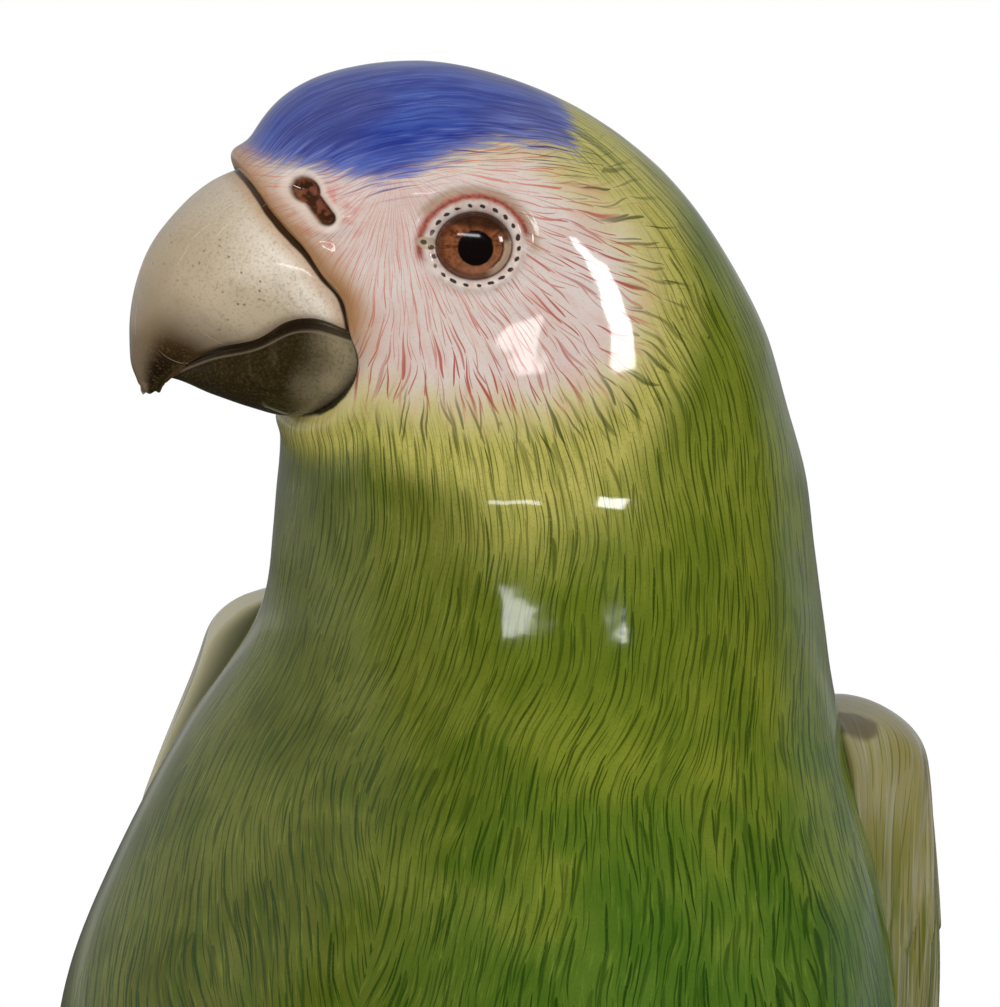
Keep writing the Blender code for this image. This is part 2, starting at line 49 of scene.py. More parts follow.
# The bird's own sizes, in metres
PERCH_HEIGHT = 0.1400
TORSO_HEIGHT = 0.1220
CHEST_DEPTH = 0.0880
CHEST_WIDTH = 0.0950
HEAD_HEIGHT = 0.0480
HEAD_DEPTH = 0.0600
HEAD_WIDTH = 0.0460
HEAD_TURN = math.radians(58.0)
TAIL_DROP = 0.1000
TAIL_REACH = 0.0345
TAIL_THICKNESS = 0.0130
TAIL_WIDTH = 0.0340
THROAT_Z = PERCH_HEIGHT + TORSO_HEIGHT

# Columns of the level tables: height, place ahead of the axis, half depth, half width, squareness, how much wider
# ahead than behind, and the share of the head's turn
HEAD_ROWS = (
    (1.000, 0.205, 0.000, 0.000, 2.0, 0.00, 1.00),
    (0.970, 0.219, 0.164, 0.180, 2.0, 0.00, 1.00),
    (0.915, 0.200, 0.260, 0.275, 2.1, 0.00, 1.00),
    (0.820, 0.165, 0.352, 0.360, 2.2, -0.05, 1.00),
    (0.730, 0.138, 0.408, 0.405, 2.3, -0.08, 1.00),
    (0.625, 0.108, 0.448, 0.428, 2.4, -0.10, 1.00),
    (0.480, 0.058, 0.470, 0.452, 2.4, -0.10, 1.00),
    (0.333, 0.014, 0.484, 0.478, 2.3, -0.08, 1.00),
    (0.167, -0.024, 0.486, 0.505, 2.2, -0.05, 0.96),
)
TORSO_ROWS = (
    (1.000, -0.030, 0.348, 0.268, 2.1, 0.00, 0.86),
    (0.926, -0.036, 0.366, 0.303, 2.0, 0.00, 0.66),
    (0.844, -0.034, 0.386, 0.345, 2.0, 0.00, 0.38),
    (0.770, 0.008, 0.418, 0.392, 2.0, 0.00, 0.14),
    (0.697, 0.060, 0.455, 0.436, 2.0, 0.00, 0.00),
    (0.590, 0.118, 0.490, 0.485, 2.1, 0.00, 0.00),
    (0.475, 0.155, 0.510, 0.514, 2.1, 0.00, 0.00),
    (0.328, 0.140, 0.500, 0.505, 2.1, 0.00, 0.00),
    (0.180, 0.060, 0.448, 0.450, 2.1, 0.00, 0.00),
    (0.049, -0.050, 0.352, 0.370, 2.1, 0.00, 0.00),
)
TAIL_ROWS = (
    (0.100, -0.310, 1.750, 0.790, 2.2, 0.00, 0.00),
    (0.320, -0.590, 0.900, 0.560, 2.3, 0.00, 0.00),
    (0.600, -0.790, 0.500, 0.500, 2.4, 0.00, 0.00),
    (0.850, -0.930, 0.330, 0.440, 2.4, 0.00, 0.00),
    (0.970, -0.990, 0.170, 0.260, 2.2, 0.00, 0.00),
    (1.000, -1.000, 0.000, 0.000, 2.0, 0.00, 0.00),
)


def spline(rows, reach, at, mirrored=None):
    """The cubic spline through the rows, at shares of its length.

    The second slopes solve one linear system, and mirrored columns change sign beyond a closed end.
    """
    rows = np.asarray(rows, float)
    reach = np.asarray(reach, float)
    start, end = 0, len(rows) - 1
    if mirrored is not None:
        before, after = rows[1].copy(), rows[-2].copy()
        before[mirrored] *= -1
        after[mirrored] *= -1
        rows = np.vstack([before, rows, after])
        reach = np.concatenate([[2 * reach[0] - reach[1]], reach, [2 * reach[-1] - reach[-2]]])
        start, end = 1, len(rows) - 2
    steps = np.diff(reach)
    inner = np.arange(1, len(rows) - 1)
    system = np.eye(len(rows))
    system[inner, inner - 1] = steps[:-1]
    system[inner, inner] = 2 * (steps[:-1] + steps[1:])
    system[inner, inner + 1] = steps[1:]
    right = np.zeros_like(rows)
    right[inner] = 6 * np.diff(np.diff(rows, axis=0) / steps[:, None], axis=0)
    bend = np.linalg.solve(system, right)
    where = reach[start] + np.asarray(at) * (reach[end] - reach[start])
    piece = np.clip(np.searchsorted(reach, where, side="right") - 1, start, end - 1)
    ahead = (where - reach[piece])[:, None]
    behind = (reach[piece + 1] - where)[:, None]
    step = steps[piece][:, None]
    return (
        bend[piece] * behind**3 / (6 * step)
        + bend[piece + 1] * ahead**3 / (6 * step)
        + (rows[piece] / step - bend[piece] * step / 6) * behind
        + (rows[piece + 1] / step - bend[piece + 1] * step / 6) * ahead
    )


def running(*columns):
    """Distance along the rows, as the root of the squared steps of these columns, summed."""
    steps = np.sqrt(sum(np.diff(column) ** 2 for column in columns))
    return np.concatenate([[0.0], np.cumsum(steps)])


def smooth(low, high, value):
    """Rises from 0 at low to 1 at high as 3t^2 - 2t^3."""
    t = np.clip((value - low) / (high - low), 0, 1)
    return t * t * (3 - 2 * t)


def bird_rows():
    """The three tables in metres, from the crown to the tip of the tail."""
    scales = (
        (HEAD_ROWS, THROAT_Z, HEAD_HEIGHT, HEAD_DEPTH, HEAD_DEPTH, HEAD_WIDTH),
        (TORSO_ROWS, PERCH_HEIGHT, TORSO_HEIGHT, CHEST_DEPTH, CHEST_DEPTH, CHEST_WIDTH),
        (TAIL_ROWS, PERCH_HEIGHT, -TAIL_DROP, TAIL_REACH, TAIL_THICKNESS, TAIL_WIDTH),
    )
    rows = []
    for table, base, rise, place, depth, width in scales:
        table = np.array(table) * np.array([rise, place, depth, width, 1, 1, HEAD_TURN])
        table[:, 0] += base
        rows.append(table)
    return np.vstack(rows)


def level_points(levels, angles):
    """Points at these angles round each level: an ellipse of any squareness, moved ahead and turned."""
    z, ahead, depth, width, power, wider, turn = (levels[:, [i]] for i in range(7))
    depth, width = np.maximum(depth, 1e-7), np.maximum(width, 1e-7)
    c, s = np.cos(angles)[None, :], np.sin(angles)[None, :]
    radius = ((np.abs(c) / depth) ** power + (np.abs(s) / width) ** power) ** (-1 / power)
    forward = ahead + radius * c
    side = radius * s * (1 + wider * c)
    x = -forward * np.sin(turn) + side * np.cos(turn)
    y = -forward * np.cos(turn) - side * np.sin(turn)
    return np.stack([x, y, z + 0 * x], axis=2)


def level_table():
    """Every level of the bird at 4000 even steps down its outline, and the distance of each down the outline."""
    rows = bird_rows()
    levels = spline(rows, running(rows[:, 0], rows[:, 2]), np.linspace(0, 1, 4000), mirrored=[2, 3])
    levels[:, 2:4] = np.maximum(levels[:, 2:4], 0)
    return levels, running(levels[:, 0], levels[:, 1] + levels[:, 2])


LEVELS, OUTLINE = level_table()


def from_head(forward, side, z):
    """Points ahead of the axis the way the head faces, and to its left, as places in the room."""
    x = -forward * np.sin(HEAD_TURN) + side * np.cos(HEAD_TURN)
    y = -forward * np.cos(HEAD_TURN) - side * np.sin(HEAD_TURN)
    return np.stack([x, y, z + 0 * x], axis=-1)


def to_head(points):
    """The way back: how far ahead, how far to the left, and how high each point lies."""
    x, y, z = points[..., 0], points[..., 1], points[..., 2]
    forward = -x * np.sin(HEAD_TURN) - y * np.cos(HEAD_TURN)
    side = x * np.cos(HEAD_TURN) - y * np.sin(HEAD_TURN)
    return forward, side, z


def to_segment(start, end, x, y):
    """Distance of points to the straight piece of line between two points."""
    (x0, y0), (x1, y1) = start, end
    t = np.clip(((x - x0) * (x1 - x0) + (y - y0) * (y1 - y0)) / ((x1 - x0) ** 2 + (y1 - y0) ** 2), 0, 1)
    return np.hypot(x - x0 - t * (x1 - x0), y - y0 - t * (y1 - y0))


def depth_inside(outline, x, y):
    """Signed distance of points to a closed outline, positive inside."""
    outline = np.asarray(outline, float)
    nearest = np.full(np.shape(x), np.inf)
    crossings = np.zeros(np.shape(x), bool)
    for (x0, y0), (x1, y1) in zip(outline, np.roll(outline, -1, axis=0)):
        nearest = np.minimum(nearest, to_segment((x0, y0), (x1, y1), x, y))
        if y0 != y1:
            crossings ^= ((y0 > y) != (y1 > y)) & (x < (x1 - x0) * (y - y0) / (y1 - y0) + x0)
    return np.where(crossings, nearest, -nearest)


def surface(name, grid, maps, values, paint):
    """A closed skin through rings of points, with a pole at each end.

    The last column of every grid repeats the first, so that a flow map runs on over the seam. Each map becomes a
    UV map and each value an attribute of the points. If the faces enclose a negative volume they are turned.
    """
    rows, columns = grid.shape[0], grid.shape[1] - 1
    r, c = np.meshgrid(np.arange(rows - 1), np.arange(columns), indexing="ij")
    corners = [(r, c), (r, c + 1), (r + 1, c + 1), (r + 1, c)]
    quads = np.stack([a * columns + b % columns for a, b in corners], axis=-1).reshape(-1, 4)
    points = np.vstack([grid[:, :-1].reshape(-1, 3), grid[0, :-1].mean(axis=0), grid[-1, :-1].mean(axis=0)])
    here = np.arange(columns)
    after = (here + 1) % columns
    last = (rows - 1) * columns
    first_fan = np.stack([after, here, np.full(columns, last + columns)], axis=1)
    last_fan = np.stack([last + here, last + after, np.full(columns, last + columns + 1)], axis=1)
    corner_list = np.concatenate([quads.ravel(), first_fan.ravel(), last_fan.ravel()])
    sizes = np.repeat([4, 3], [len(quads), 2 * columns])
    starts = np.concatenate([[0], np.cumsum(sizes)[:-1]])
    first, second, third = (points[corner_list[starts + i]] for i in range(3))
    inside_out = np.einsum("ij,ij->", first, np.cross(second, third)) < 0

    mesh = bpy.data.meshes.new(name)
    mesh.vertices.add(len(points))
    mesh.vertices.foreach_set("co", points.astype(np.float32).ravel())
    mesh.loops.add(len(corner_list))
    mesh.loops.foreach_set("vertex_index", corner_list.astype(np.int32))
    mesh.polygons.add(len(sizes))
    mesh.polygons.foreach_set("loop_start", starts.astype(np.int32))
    mesh.polygons.foreach_set("loop_total", sizes.astype(np.int32))
    mesh.update(calc_edges=True)
    for map_name, field in maps.items():
        flat = [np.stack([field[a, b] for a, b in corners], axis=2).reshape(-1, 2)]
        for one, other in ((field[0, 1:], field[0, :-1]), (field[-1, :-1], field[-1, 1:])):
            flat.append(np.stack([one, other, (one + other) / 2], axis=1).reshape(-1, 2))
        mesh.uv_layers.new(name=map_name).data.foreach_set("uv", np.concatenate(flat).astype(np.float32).ravel())
    for value_name, field in values.items():
        flat = np.concatenate([field[:, :-1].ravel(), [field[0].mean(), field[-1].mean()]])
        mesh.attributes.new(value_name, "FLOAT", "POINT").data.foreach_set("value", flat.astype(np.float32))
    if inside_out:
        mesh.flip_normals()
    mesh.shade_smooth()
    mesh.validate()
    mesh.materials.append(paint)
    piece = bpy.data.objects.new(name, mesh)
    bpy.context.scene.collection.objects.link(piece)
    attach(piece, "root")
    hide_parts(NODE)
    return piece


def outward(grid):
    """The unit normals of a grid of points: the cross product of its two slopes, turned away from its middle."""
    wide = np.concatenate([grid[:, -2:-1], grid, grid[:, 1:2]], axis=1)
    normal = np.cross(wide[:, 2:] - wide[:, :-2], np.gradient(grid, axis=0))
    normal /= np.maximum(np.linalg.norm(normal, axis=2, keepdims=True), 1e-12)
    middle = grid[:, :-1].mean(axis=1, keepdims=True)
    return -normal if np.einsum("ijk,ijk->", normal, grid - middle) < 0 else normal


def ripple(points, size, seed, octaves):
    """Smooth uneven noise between -1 and 1: sums of sines along turned directions, each finer and weaker."""
    random = np.random.default_rng(seed)
    total = np.zeros(points.shape[:-1])
    for octave in range(octaves):
        for _ in range(5):
            direction = random.normal(size=3)
            direction *= 2 ** octave * 2 * math.pi / (size * np.linalg.norm(direction))
            total += np.sin(points @ direction + random.uniform(0, 2 * math.pi)) / (5 * 1.7 ** octave)
    return total


# Places on the side of the head, ahead of the axis and up from the table, in millimetres
EYE_AHEAD = 9.4
EYE_HEIGHT = 292.3
EYE_LONG = 4.0
EYE_TALL = 3.55
NOSTRIL_TOP = (27.1, 298.0)
NOSTRIL_FOOT = (25.2, 295.2)
CROWN_OUTLINE = (
    (42.0, 299.6), (31.5, 300.3), (27.4, 300.5), (23.5, 300.1), (19.3, 299.4), (16.0, 300.3), (12.6, 301.6),
    (9.1, 302.7), (5.4, 303.3), (0.7, 302.8), (-3.5, 301.7), (-4.0, 303.8), (-4.2, 305.5), (-4.2, 322.0),
    (42.0, 322.0),
)
FACE_OUTLINE = (
    (45.0, 304.0), (2.0, 306.0), (-3.8, 300.7), (-7.5, 297.4), (-11.2, 291.8), (-12.1, 285.3), (-11.0, 279.9),
    (-7.9, 275.7), (-4.3, 273.6), (1.4, 272.1), (7.0, 271.7), (12.4, 272.2), (17.6, 272.5), (20.7, 273.4),
    (23.6, 273.0), (26.6, 271.3), (45.0, 270.5),
)
FACE_FOCUS = (17.8, 301.3)
CERE_LINE = (
    (33.4, 299.4), (31.9, 297.2), (30.8, 295.3), (28.9, 292.9), (26.9, 290.4), (25.3, 288.0), (23.7, 286.2),
    (22.8, 282.4), (21.9, 279.0), (22.7, 275.2), (25.6, 271.8), (31.0, 269.0),
)

# The upper beak: ridge ahead, ridge height, edge ahead, edge height, half width, in millimetres
UPPER_BEAK_ROWS = (
    (22.0, 298.6, 12.0, 279.5, 12.5),
    (29.2, 299.0, 18.0, 280.2, 13.8),
    (34.2, 297.3, 22.9, 281.6, 14.0),
    (38.1, 294.7, 26.4, 282.8, 13.1),
    (40.7, 292.1, 29.0, 282.5, 12.2),
    (42.5, 289.5, 31.1, 281.2, 11.1),
    (43.8, 286.6, 33.4, 280.1, 9.7),
    (44.8, 283.1, 36.5, 279.2, 7.5),
    (45.2, 279.5, 38.8, 277.7, 5.2),
    (45.0, 276.3, 40.9, 275.7, 3.2),
    (43.9, 273.5, 42.1, 273.7, 1.5),
)

# The lower beak: keel ahead, keel height, edge ahead, edge height, half width, in millimetres
LOWER_BEAK_ROWS = (
    (14.5, 274.8, 14.5, 280.6, 12.0),
    (20.2, 273.8, 18.6, 280.9, 13.6),
    (24.2, 271.0, 22.9, 281.7, 13.9),
    (27.6, 270.4, 26.4, 282.8, 13.0),
    (30.0, 270.9, 29.0, 282.5, 12.1),
    (32.5, 271.7, 31.1, 281.2, 11.0),
    (35.0, 272.7, 33.4, 280.1, 9.6),
    (37.8, 273.9, 36.5, 279.1, 7.4),
    (39.9, 274.7, 38.8, 277.6, 4.7),
    (41.2, 275.0, 40.9, 275.6, 1.0),
)

# The wing: height as a share of the torso's, place ahead, half depth and half width as shares of the chest's, the
# bearings of its front and back edge in degrees, and its share of the full thickness
WING_ROWS = (
    (0.768, -0.055, 0.404, 0.382, 103.0, 110.0, 0.02),
    (0.764, -0.055, 0.412, 0.396, 98.0, 120.0, 0.38),
    (0.755, -0.054, 0.420, 0.413, 93.0, 130.0, 0.72),
    (0.738, -0.051, 0.428, 0.430, 89.5, 139.0, 0.92),
    (0.709, -0.042, 0.436, 0.443, 87.0, 148.0, 1.00),
    (0.655, -0.010, 0.447, 0.461, 84.5, 157.0, 1.00),
    (0.590, 0.035, 0.465, 0.480, 83.0, 163.0, 1.00),
    (0.475, 0.100, 0.495, 0.500, 83.0, 168.0, 0.92),
    (0.350, 0.100, 0.500, 0.498, 85.0, 170.0, 0.85),
    (0.210, 0.050, 0.475, 0.470, 92.0, 172.0, 0.80),
    (0.080, -0.030, 0.420, 0.422, 104.0, 174.0, 0.75),
    (-0.050, -0.130, 0.345, 0.345, 120.0, 175.0, 0.70),
    (-0.180, -0.225, 0.250, 0.260, 136.0, 176.0, 0.60),
    (-0.300, -0.300, 0.165, 0.190, 152.0, 177.0, 0.50),
    (-0.370, -0.335, 0.135, 0.160, 166.0, 177.0, 0.10),
)
WING_THICKNESS = 0.0060
WING_SEAT = 0.0014
INNER_THICKNESS = 0.0045
FLIGHT_FEATHERS = 7
RIGHT_WING_LIFT = 0.0092
FOOT_RADIUS = 0.0600
FOOT_THICKNESS = 0.0080
TRUNK_RADIUS = 0.0275
ROOT_FLARE = 0.0120
ROOT_RISE = 0.0300
ROOTS = 7
RIM_ROUND = 0.0030
WALL = 0.0055
TOE_RADIUS = 0.0036
CLAW_LENGTH = 0.0090
TOE_ANGLES = (20.0, 46.0, 126.0)

# Sizes of the feathers and of the maps of their flow, in millimetres
FEATHER_WIDTH = 5.2
WING_LENGTH = 140.0
NECK_RADIUS = 32.0
FACE_RADIUS = 16.0
CROWN_WIDTH_PER_DEGREE = 0.38
BEAK_LENGTH = 60.0

# Rows of small feathers on a wing, points round the beak, how square the beak is and its tuck behind its edge
FEATHER_ROWS = 9.0
BEAK_SIDES = 200
BEAK_SQUARENESS = 2.6
EDGE_TUCK = 0.12


def uneven_steps(count, start, end, density):
    """Places from start to end whose spacing is the inverse of the density: the running sum of it, inverted."""
    fine = np.linspace(start, end, 8000)
    weight = density(fine)
    total = np.concatenate([[0], np.cumsum((weight[1:] + weight[:-1]) / 2)])
    return np.interp(np.linspace(0, total[-1], count), total, fine)


def line_distance(line, x, y):
    """Distance to a bent line, positive on its left as it is walked."""
    best = np.full(np.shape(x), np.inf)
    sign = np.ones(np.shape(x))
    for (x0, y0), (x1, y1) in zip(line, line[1:]):
        distance = to_segment((x0, y0), (x1, y1), x, y)
        side = (x1 - x0) * (y - y0) - (y1 - y0) * (x - x0)
        sign = np.where(distance < best, np.where(side > 0, 1, -1), sign)
        best = np.minimum(best, distance)
    return best * sign


def cere_distance(ahead, height):
    """Distance to the groove between skin and beak, drawn as a spline, positive on the beak's side."""
    line = np.array(CERE_LINE)
    line = spline(line, running(line[:, 0], line[:, 1]), np.linspace(0, 1, 60))
    return line_distance(line, ahead, height)


def eye_reach(ahead, height):
    """Distance from the middle of the eye, in radii of its own ellipse."""
    return np.hypot((ahead - EYE_AHEAD) / EYE_LONG, (height - EYE_HEIGHT) / EYE_TALL)


def nostril_gap(ahead, height):
    """Distance to the edge of the nostril, negative inside: a round hole with a narrower tail below it."""
    line = np.abs(line_distance((NOSTRIL_TOP, NOSTRIL_FOOT), ahead, height))
    from_top = np.hypot(ahead - NOSTRIL_TOP[0], height - NOSTRIL_TOP[1])
    return np.minimum(from_top - 1.35, line - 0.85)


def bump_at(distance, width):
    """A bell of height 1: the exponential of minus the squared distance in widths."""
    return np.exp(-((distance / width) ** 2))


def head_relief(ahead, side, height):
    """How far the head's skin stands off its plain form, in millimetres.

    The eye is a low dome in a groove, with a lid round it and a heavier fold above. The nostril is a keyhole
    pit with a swollen rim. The edge of the face swells along the groove where the beak is set in, and the skin
    in front of that groove lies deeper, under the beak's root. The jowl below the eye is a broad soft swelling.
    """
    reach = eye_reach(ahead, height)
    above = smooth(-0.2, 1.0, (height - EYE_HEIGHT) / (EYE_TALL * np.maximum(reach, 0.3)))
    dome = 0.75 * np.sqrt(np.clip(1 - reach**2, 0, 1))
    fold = 0.35 * bump_at(reach - 1.45, 0.16) - 0.30 * bump_at(reach - 1.72, 0.10)
    lid = 0.50 * bump_at(reach - 1.30, 0.17) + above * fold
    groove = -0.35 * bump_at(reach - 1.06, 0.06)
    corner = -0.25 * bump_at(np.hypot(ahead - 14.6, (height - 292.6) / 0.6), 1.1)
    pit = nostril_gap(ahead, height)
    nostril = -1.3 * (1 - smooth(-0.7, 0.25, pit)) + 0.45 * bump_at(pit - 0.75, 0.55)
    edge = cere_distance(ahead, height)
    swelling = (0.45 + 0.75 * smooth(287, 297, height)) * bump_at(edge + 1.5, 1.3) - 0.3 * bump_at(edge, 0.45)
    set_in = -3.4 * smooth(0.0, 1.6, edge)
    jowl = 0.9 * bump_at(np.hypot((ahead - 4.0) / 15.0, (height - 272.5) / 9.5), 1.0) * smooth(0.0, -2.0, edge)
    brow = 0.5 * bump_at(np.hypot((ahead - 11.0) / 9.0, (height - 298.6) / 1.8), 1.0)
    on_side = smooth(2.0, 5.0, side)
    return on_side * (dome + lid + groove + corner + nostril + brow + jowl) + swelling + set_in


def skin_grid(count, sides):
    """Rings of the bird, closer together where the eyes and the nostrils are."""
    crown_to_throat = np.interp(THROAT_Z, LEVELS[::-1, 0], OUTLINE[::-1])
    eye_place = np.interp((EYE_HEIGHT + 1) * MM, LEVELS[::-1, 0], OUTLINE[::-1])

    def along(place):
        head = smooth(crown_to_throat + 0.03, crown_to_throat, place)
        return 0.55 + 1.5 * head + 2.6 * bump_at(place - eye_place, 0.0075) - 0.25 * smooth(0.19, 0.21, place)

    def round_the_head(angle):
        bearing = np.abs((angle + math.pi) % (2 * math.pi) - math.pi)
        eyes = bump_at(bearing - math.radians(86), math.radians(17))
        nostrils = bump_at(bearing - math.radians(38), math.radians(13))
        return 1 + 1.7 * eyes + 1.1 * nostrils - 0.3 * smooth(2.0, 2.4, bearing)

    place = uneven_steps(count, 0.0004, OUTLINE[-1] - 0.0004, along)
    levels = np.stack([np.interp(place, OUTLINE, LEVELS[:, i]) for i in range(7)], axis=1)
    angles = uneven_steps(sides + 1, 0.0, 2 * math.pi, round_the_head)
    grid = level_points(levels, angles)
    grid[:, -1] = grid[:, 0]
    return grid, place


def feather_maps(grid, place, ahead, side, height):
    """Where each point lies across and along the feathers, in millimetres, on maps that overlap.

    On the body the feathers run down from the nape, spread as the breast widens and lean to the bird's right. On
    the face they fan out from one point, and on the crown they run back from the beak. The eye has its own plane.
    """
    z = grid[..., 2]
    middle = grid[:, :-1].mean(axis=1)
    bearing = np.unwrap(np.arctan2(grid[..., 0] - middle[:, None, 0], middle[:, None, 1] - grid[..., 1]), axis=1)
    bearing -= 2 * math.pi * np.round(bearing[:, :1] / (2 * math.pi))
    lean = 0.25 * np.sin(bearing) + 0.30 * smooth(0.262, 0.225, z) + 0.25 * smooth(0.230, 0.185, z)
    spread = 1 + 0.25 * smooth(0.236, 0.165, z)
    down = np.repeat(place[:, None] / MM, grid.shape[1], axis=1)
    before, below = ahead - FACE_FOCUS[0], FACE_FOCUS[1] - height
    over_head = np.degrees(np.arctan2(side, height - 284))
    return {
        "neck_flow": np.stack([NECK_RADIUS * (bearing + lean) / spread, -down], axis=2),
        "face_flow": np.stack([FACE_RADIUS * np.arctan2(before, below), np.hypot(before, below)], axis=2),
        "crown_flow": np.stack([over_head * CROWN_WIDTH_PER_DEGREE, ahead], axis=2),
        "eye_plane": np.stack([ahead - EYE_AHEAD, height - EYE_HEIGHT], axis=2),
    }


def colour_fields(grid, ahead, side, height):
    """How far each point lies inside each outline of colour, in millimetres, and how pale or shaded its green is."""
    behind = np.degrees(np.arctan2(side, ahead))
    cheek = bump_at(np.abs(behind) - 83, 31) * smooth(246, 270, height) * smooth(292, 280, height)
    nape = 0.45 * smooth(-26, -7, ahead) * smooth(272, 298, height)
    chin = 0.55 * smooth(266, 272, height) * smooth(18, 24, ahead)
    bearing = np.degrees(np.arctan2(grid[..., 0], -grid[..., 1]))
    return {
        "shade": smooth(40, -20, bearing) * smooth(286, 262, height),
        "paleness": np.clip(np.maximum(np.maximum(cheek, nape), chin), 0, 1),
        "nostril_gap": np.where(np.abs(side) > 4, nostril_gap(ahead, height), 9.0),
        "crown_depth": depth_inside(CROWN_OUTLINE, ahead, height),
        "face_depth": depth_inside(FACE_OUTLINE, ahead, height),
        "cere_distance": cere_distance(ahead, height),
        "head_side": np.abs(side) * np.where(height > 262, 1, 0),
    }


def bird_skin(head_paint, body_paint):
    """The bird's own skin from crown to tail tip: one paint down to the throat, and one below it.

    The head's relief, a soft unevenness and the ridged vanes of the tail stand off it along its normals.
    """
    grid, place = skin_grid(342, 286)
    ahead, side, height = (value / MM for value in to_head(grid))
    relief = np.where(height > 262, head_relief(ahead, np.abs(side), height), 0) * smooth(262, 268, height)
    soft = 0.05 * ripple(grid, 0.017, 3, 2) + 0.02 * ripple(grid, 0.005, 4, 2)
    tail = smooth(0.150, 0.128, grid[..., 2]) * smooth(0.004, 0.012, grid[..., 1])
    vane = np.abs(((grid[..., 0] / 0.0052) % 1.0) - 0.5)
    relief = relief + soft + tail * (0.9 * vane - 0.2)
    maps = feather_maps(grid, place, ahead, side, height)
    values = colour_fields(grid, ahead, side, height)
    grid = grid + outward(grid) * (relief * MM)[..., None]
    grid[:, -1] = grid[:, 0]
    skin = surface("bird_skin", grid, maps, values, head_paint)
    skin.data.materials.append(body_paint)
    columns = grid.shape[1] - 1
    on_body = np.repeat(grid[:-1, :, 2].mean(axis=1) < THROAT_Z - 0.003, columns)
    on_body = np.concatenate([on_body, np.zeros(columns, bool), np.ones(columns, bool)])
    skin.data.polygons.foreach_set("material_index", on_body.astype(np.int32))


def beak_rings(rows, count):
    """Sections from ridge to edge: a dome as wide as the edge line, tucked in flat behind that line."""
    rows = np.array(rows, float)
    reach = running((rows[:, 0] + rows[:, 2]) / 2, (rows[:, 1] + rows[:, 3]) / 2)
    rows = spline(rows, reach, np.linspace(0, 1, count))
    around = np.linspace(0, 2 * math.pi, BEAK_SIDES + 1)
    c, s = np.cos(around)[None, :], np.sin(around)[None, :]
    radius = (np.abs(c) ** BEAK_SQUARENESS + np.abs(s) ** BEAK_SQUARENESS) ** (-1 / BEAK_SQUARENESS)
    rise = np.where(c > 0, radius * c, EDGE_TUCK * radius * c)
    ahead = rows[:, [2]] + (rows[:, [0]] - rows[:, [2]]) * rise
    height = rows[:, [3]] + (rows[:, [1]] - rows[:, [3]]) * rise
    side = np.maximum(rows[:, [4]], 0.4) * radius * s
    along = np.linspace(0, 1, count)[:, None] + 0 * rise
    return from_head(ahead * MM, side * MM, height * MM), rise, ahead, height, side, along


def upper_beak(paint):
    """The upper half: a hooked dome over its cutting edge, with a broken, jagged tip."""
    grid, rise, ahead, height, side, along = beak_rings(UPPER_BEAK_ROWS, 190)
    normal = outward(grid)
    growth = 0.06 * np.sin(90 * along + 2 * ripple(grid, 0.012, 8, 1)) * smooth(0.2, 0.5, along)
    relief = 0.12 * ripple(grid, 0.009, 5, 2) + 0.05 * growth - 0.22 * bump_at(rise - 0.03, 0.06)
    grid = grid + normal * (relief * MM)[..., None]
    ragged = smooth(0.955, 1.0, along)[..., None]
    grid = grid + ragged * np.array([0, 0, 1]) * (0.0009 * ripple(grid, 0.0022, 12, 2))[..., None]
    grid += ragged * normal * (0.0003 * ripple(grid, 0.0013, 13, 1))[..., None]
    grid[:, -1] = grid[:, 0]
    values = {"edge_rise": rise + 0 * along, "along": along, "cere_distance": cere_distance(ahead, height)}
    maps = {"beak_flow": np.stack([side, BEAK_LENGTH * along], axis=2)}
    surface("upper_beak", grid, maps, values, paint)


def lower_beak(paint):
    """The lower half: a scoop under the same edge line, with a raised lip along it."""
    grid, _, _, height, side, along = beak_rings(LOWER_BEAK_ROWS, 150)
    drop = np.abs(height - height[:, [BEAK_SIDES // 4]])
    relief = 0.40 * bump_at(drop - 0.4, 0.45) + 0.12 * ripple(grid, 0.008, 15, 2)
    grid = grid + outward(grid) * (relief * MM)[..., None]
    grid[:, -1] = grid[:, 0]
    maps = {"beak_flow": np.stack([side, BEAK_LENGTH * along], axis=2)}
    surface("lower_beak", grid, maps, {"along": along, "lip_drop": drop}, paint)


def scales(across, down):
    """Overlapping rounded feathers in rows, each row shifted by half a feather.

    Returns how high each point stands and how near it is to the tip of its feather. The upper feather reaches
    over the next row as far as half a row times one minus its squared place across.
    """
    row = np.floor(down)
    upper = row - 1
    place = (across + 0.5 * (upper % 2)) % 1.0 - 0.5
    on_upper = down - row < 0.55 * (1 - (2 * place) ** 2)
    place = np.where(on_upper, place, (across + 0.5 * (row % 2)) % 1.0 - 0.5)
    gone = np.where(on_upper, down - upper, down - row) / (1 + 0.55 * (1 - (2 * place) ** 2))
    return gone - 0.5 * (2 * place) ** 2 * gone, gone


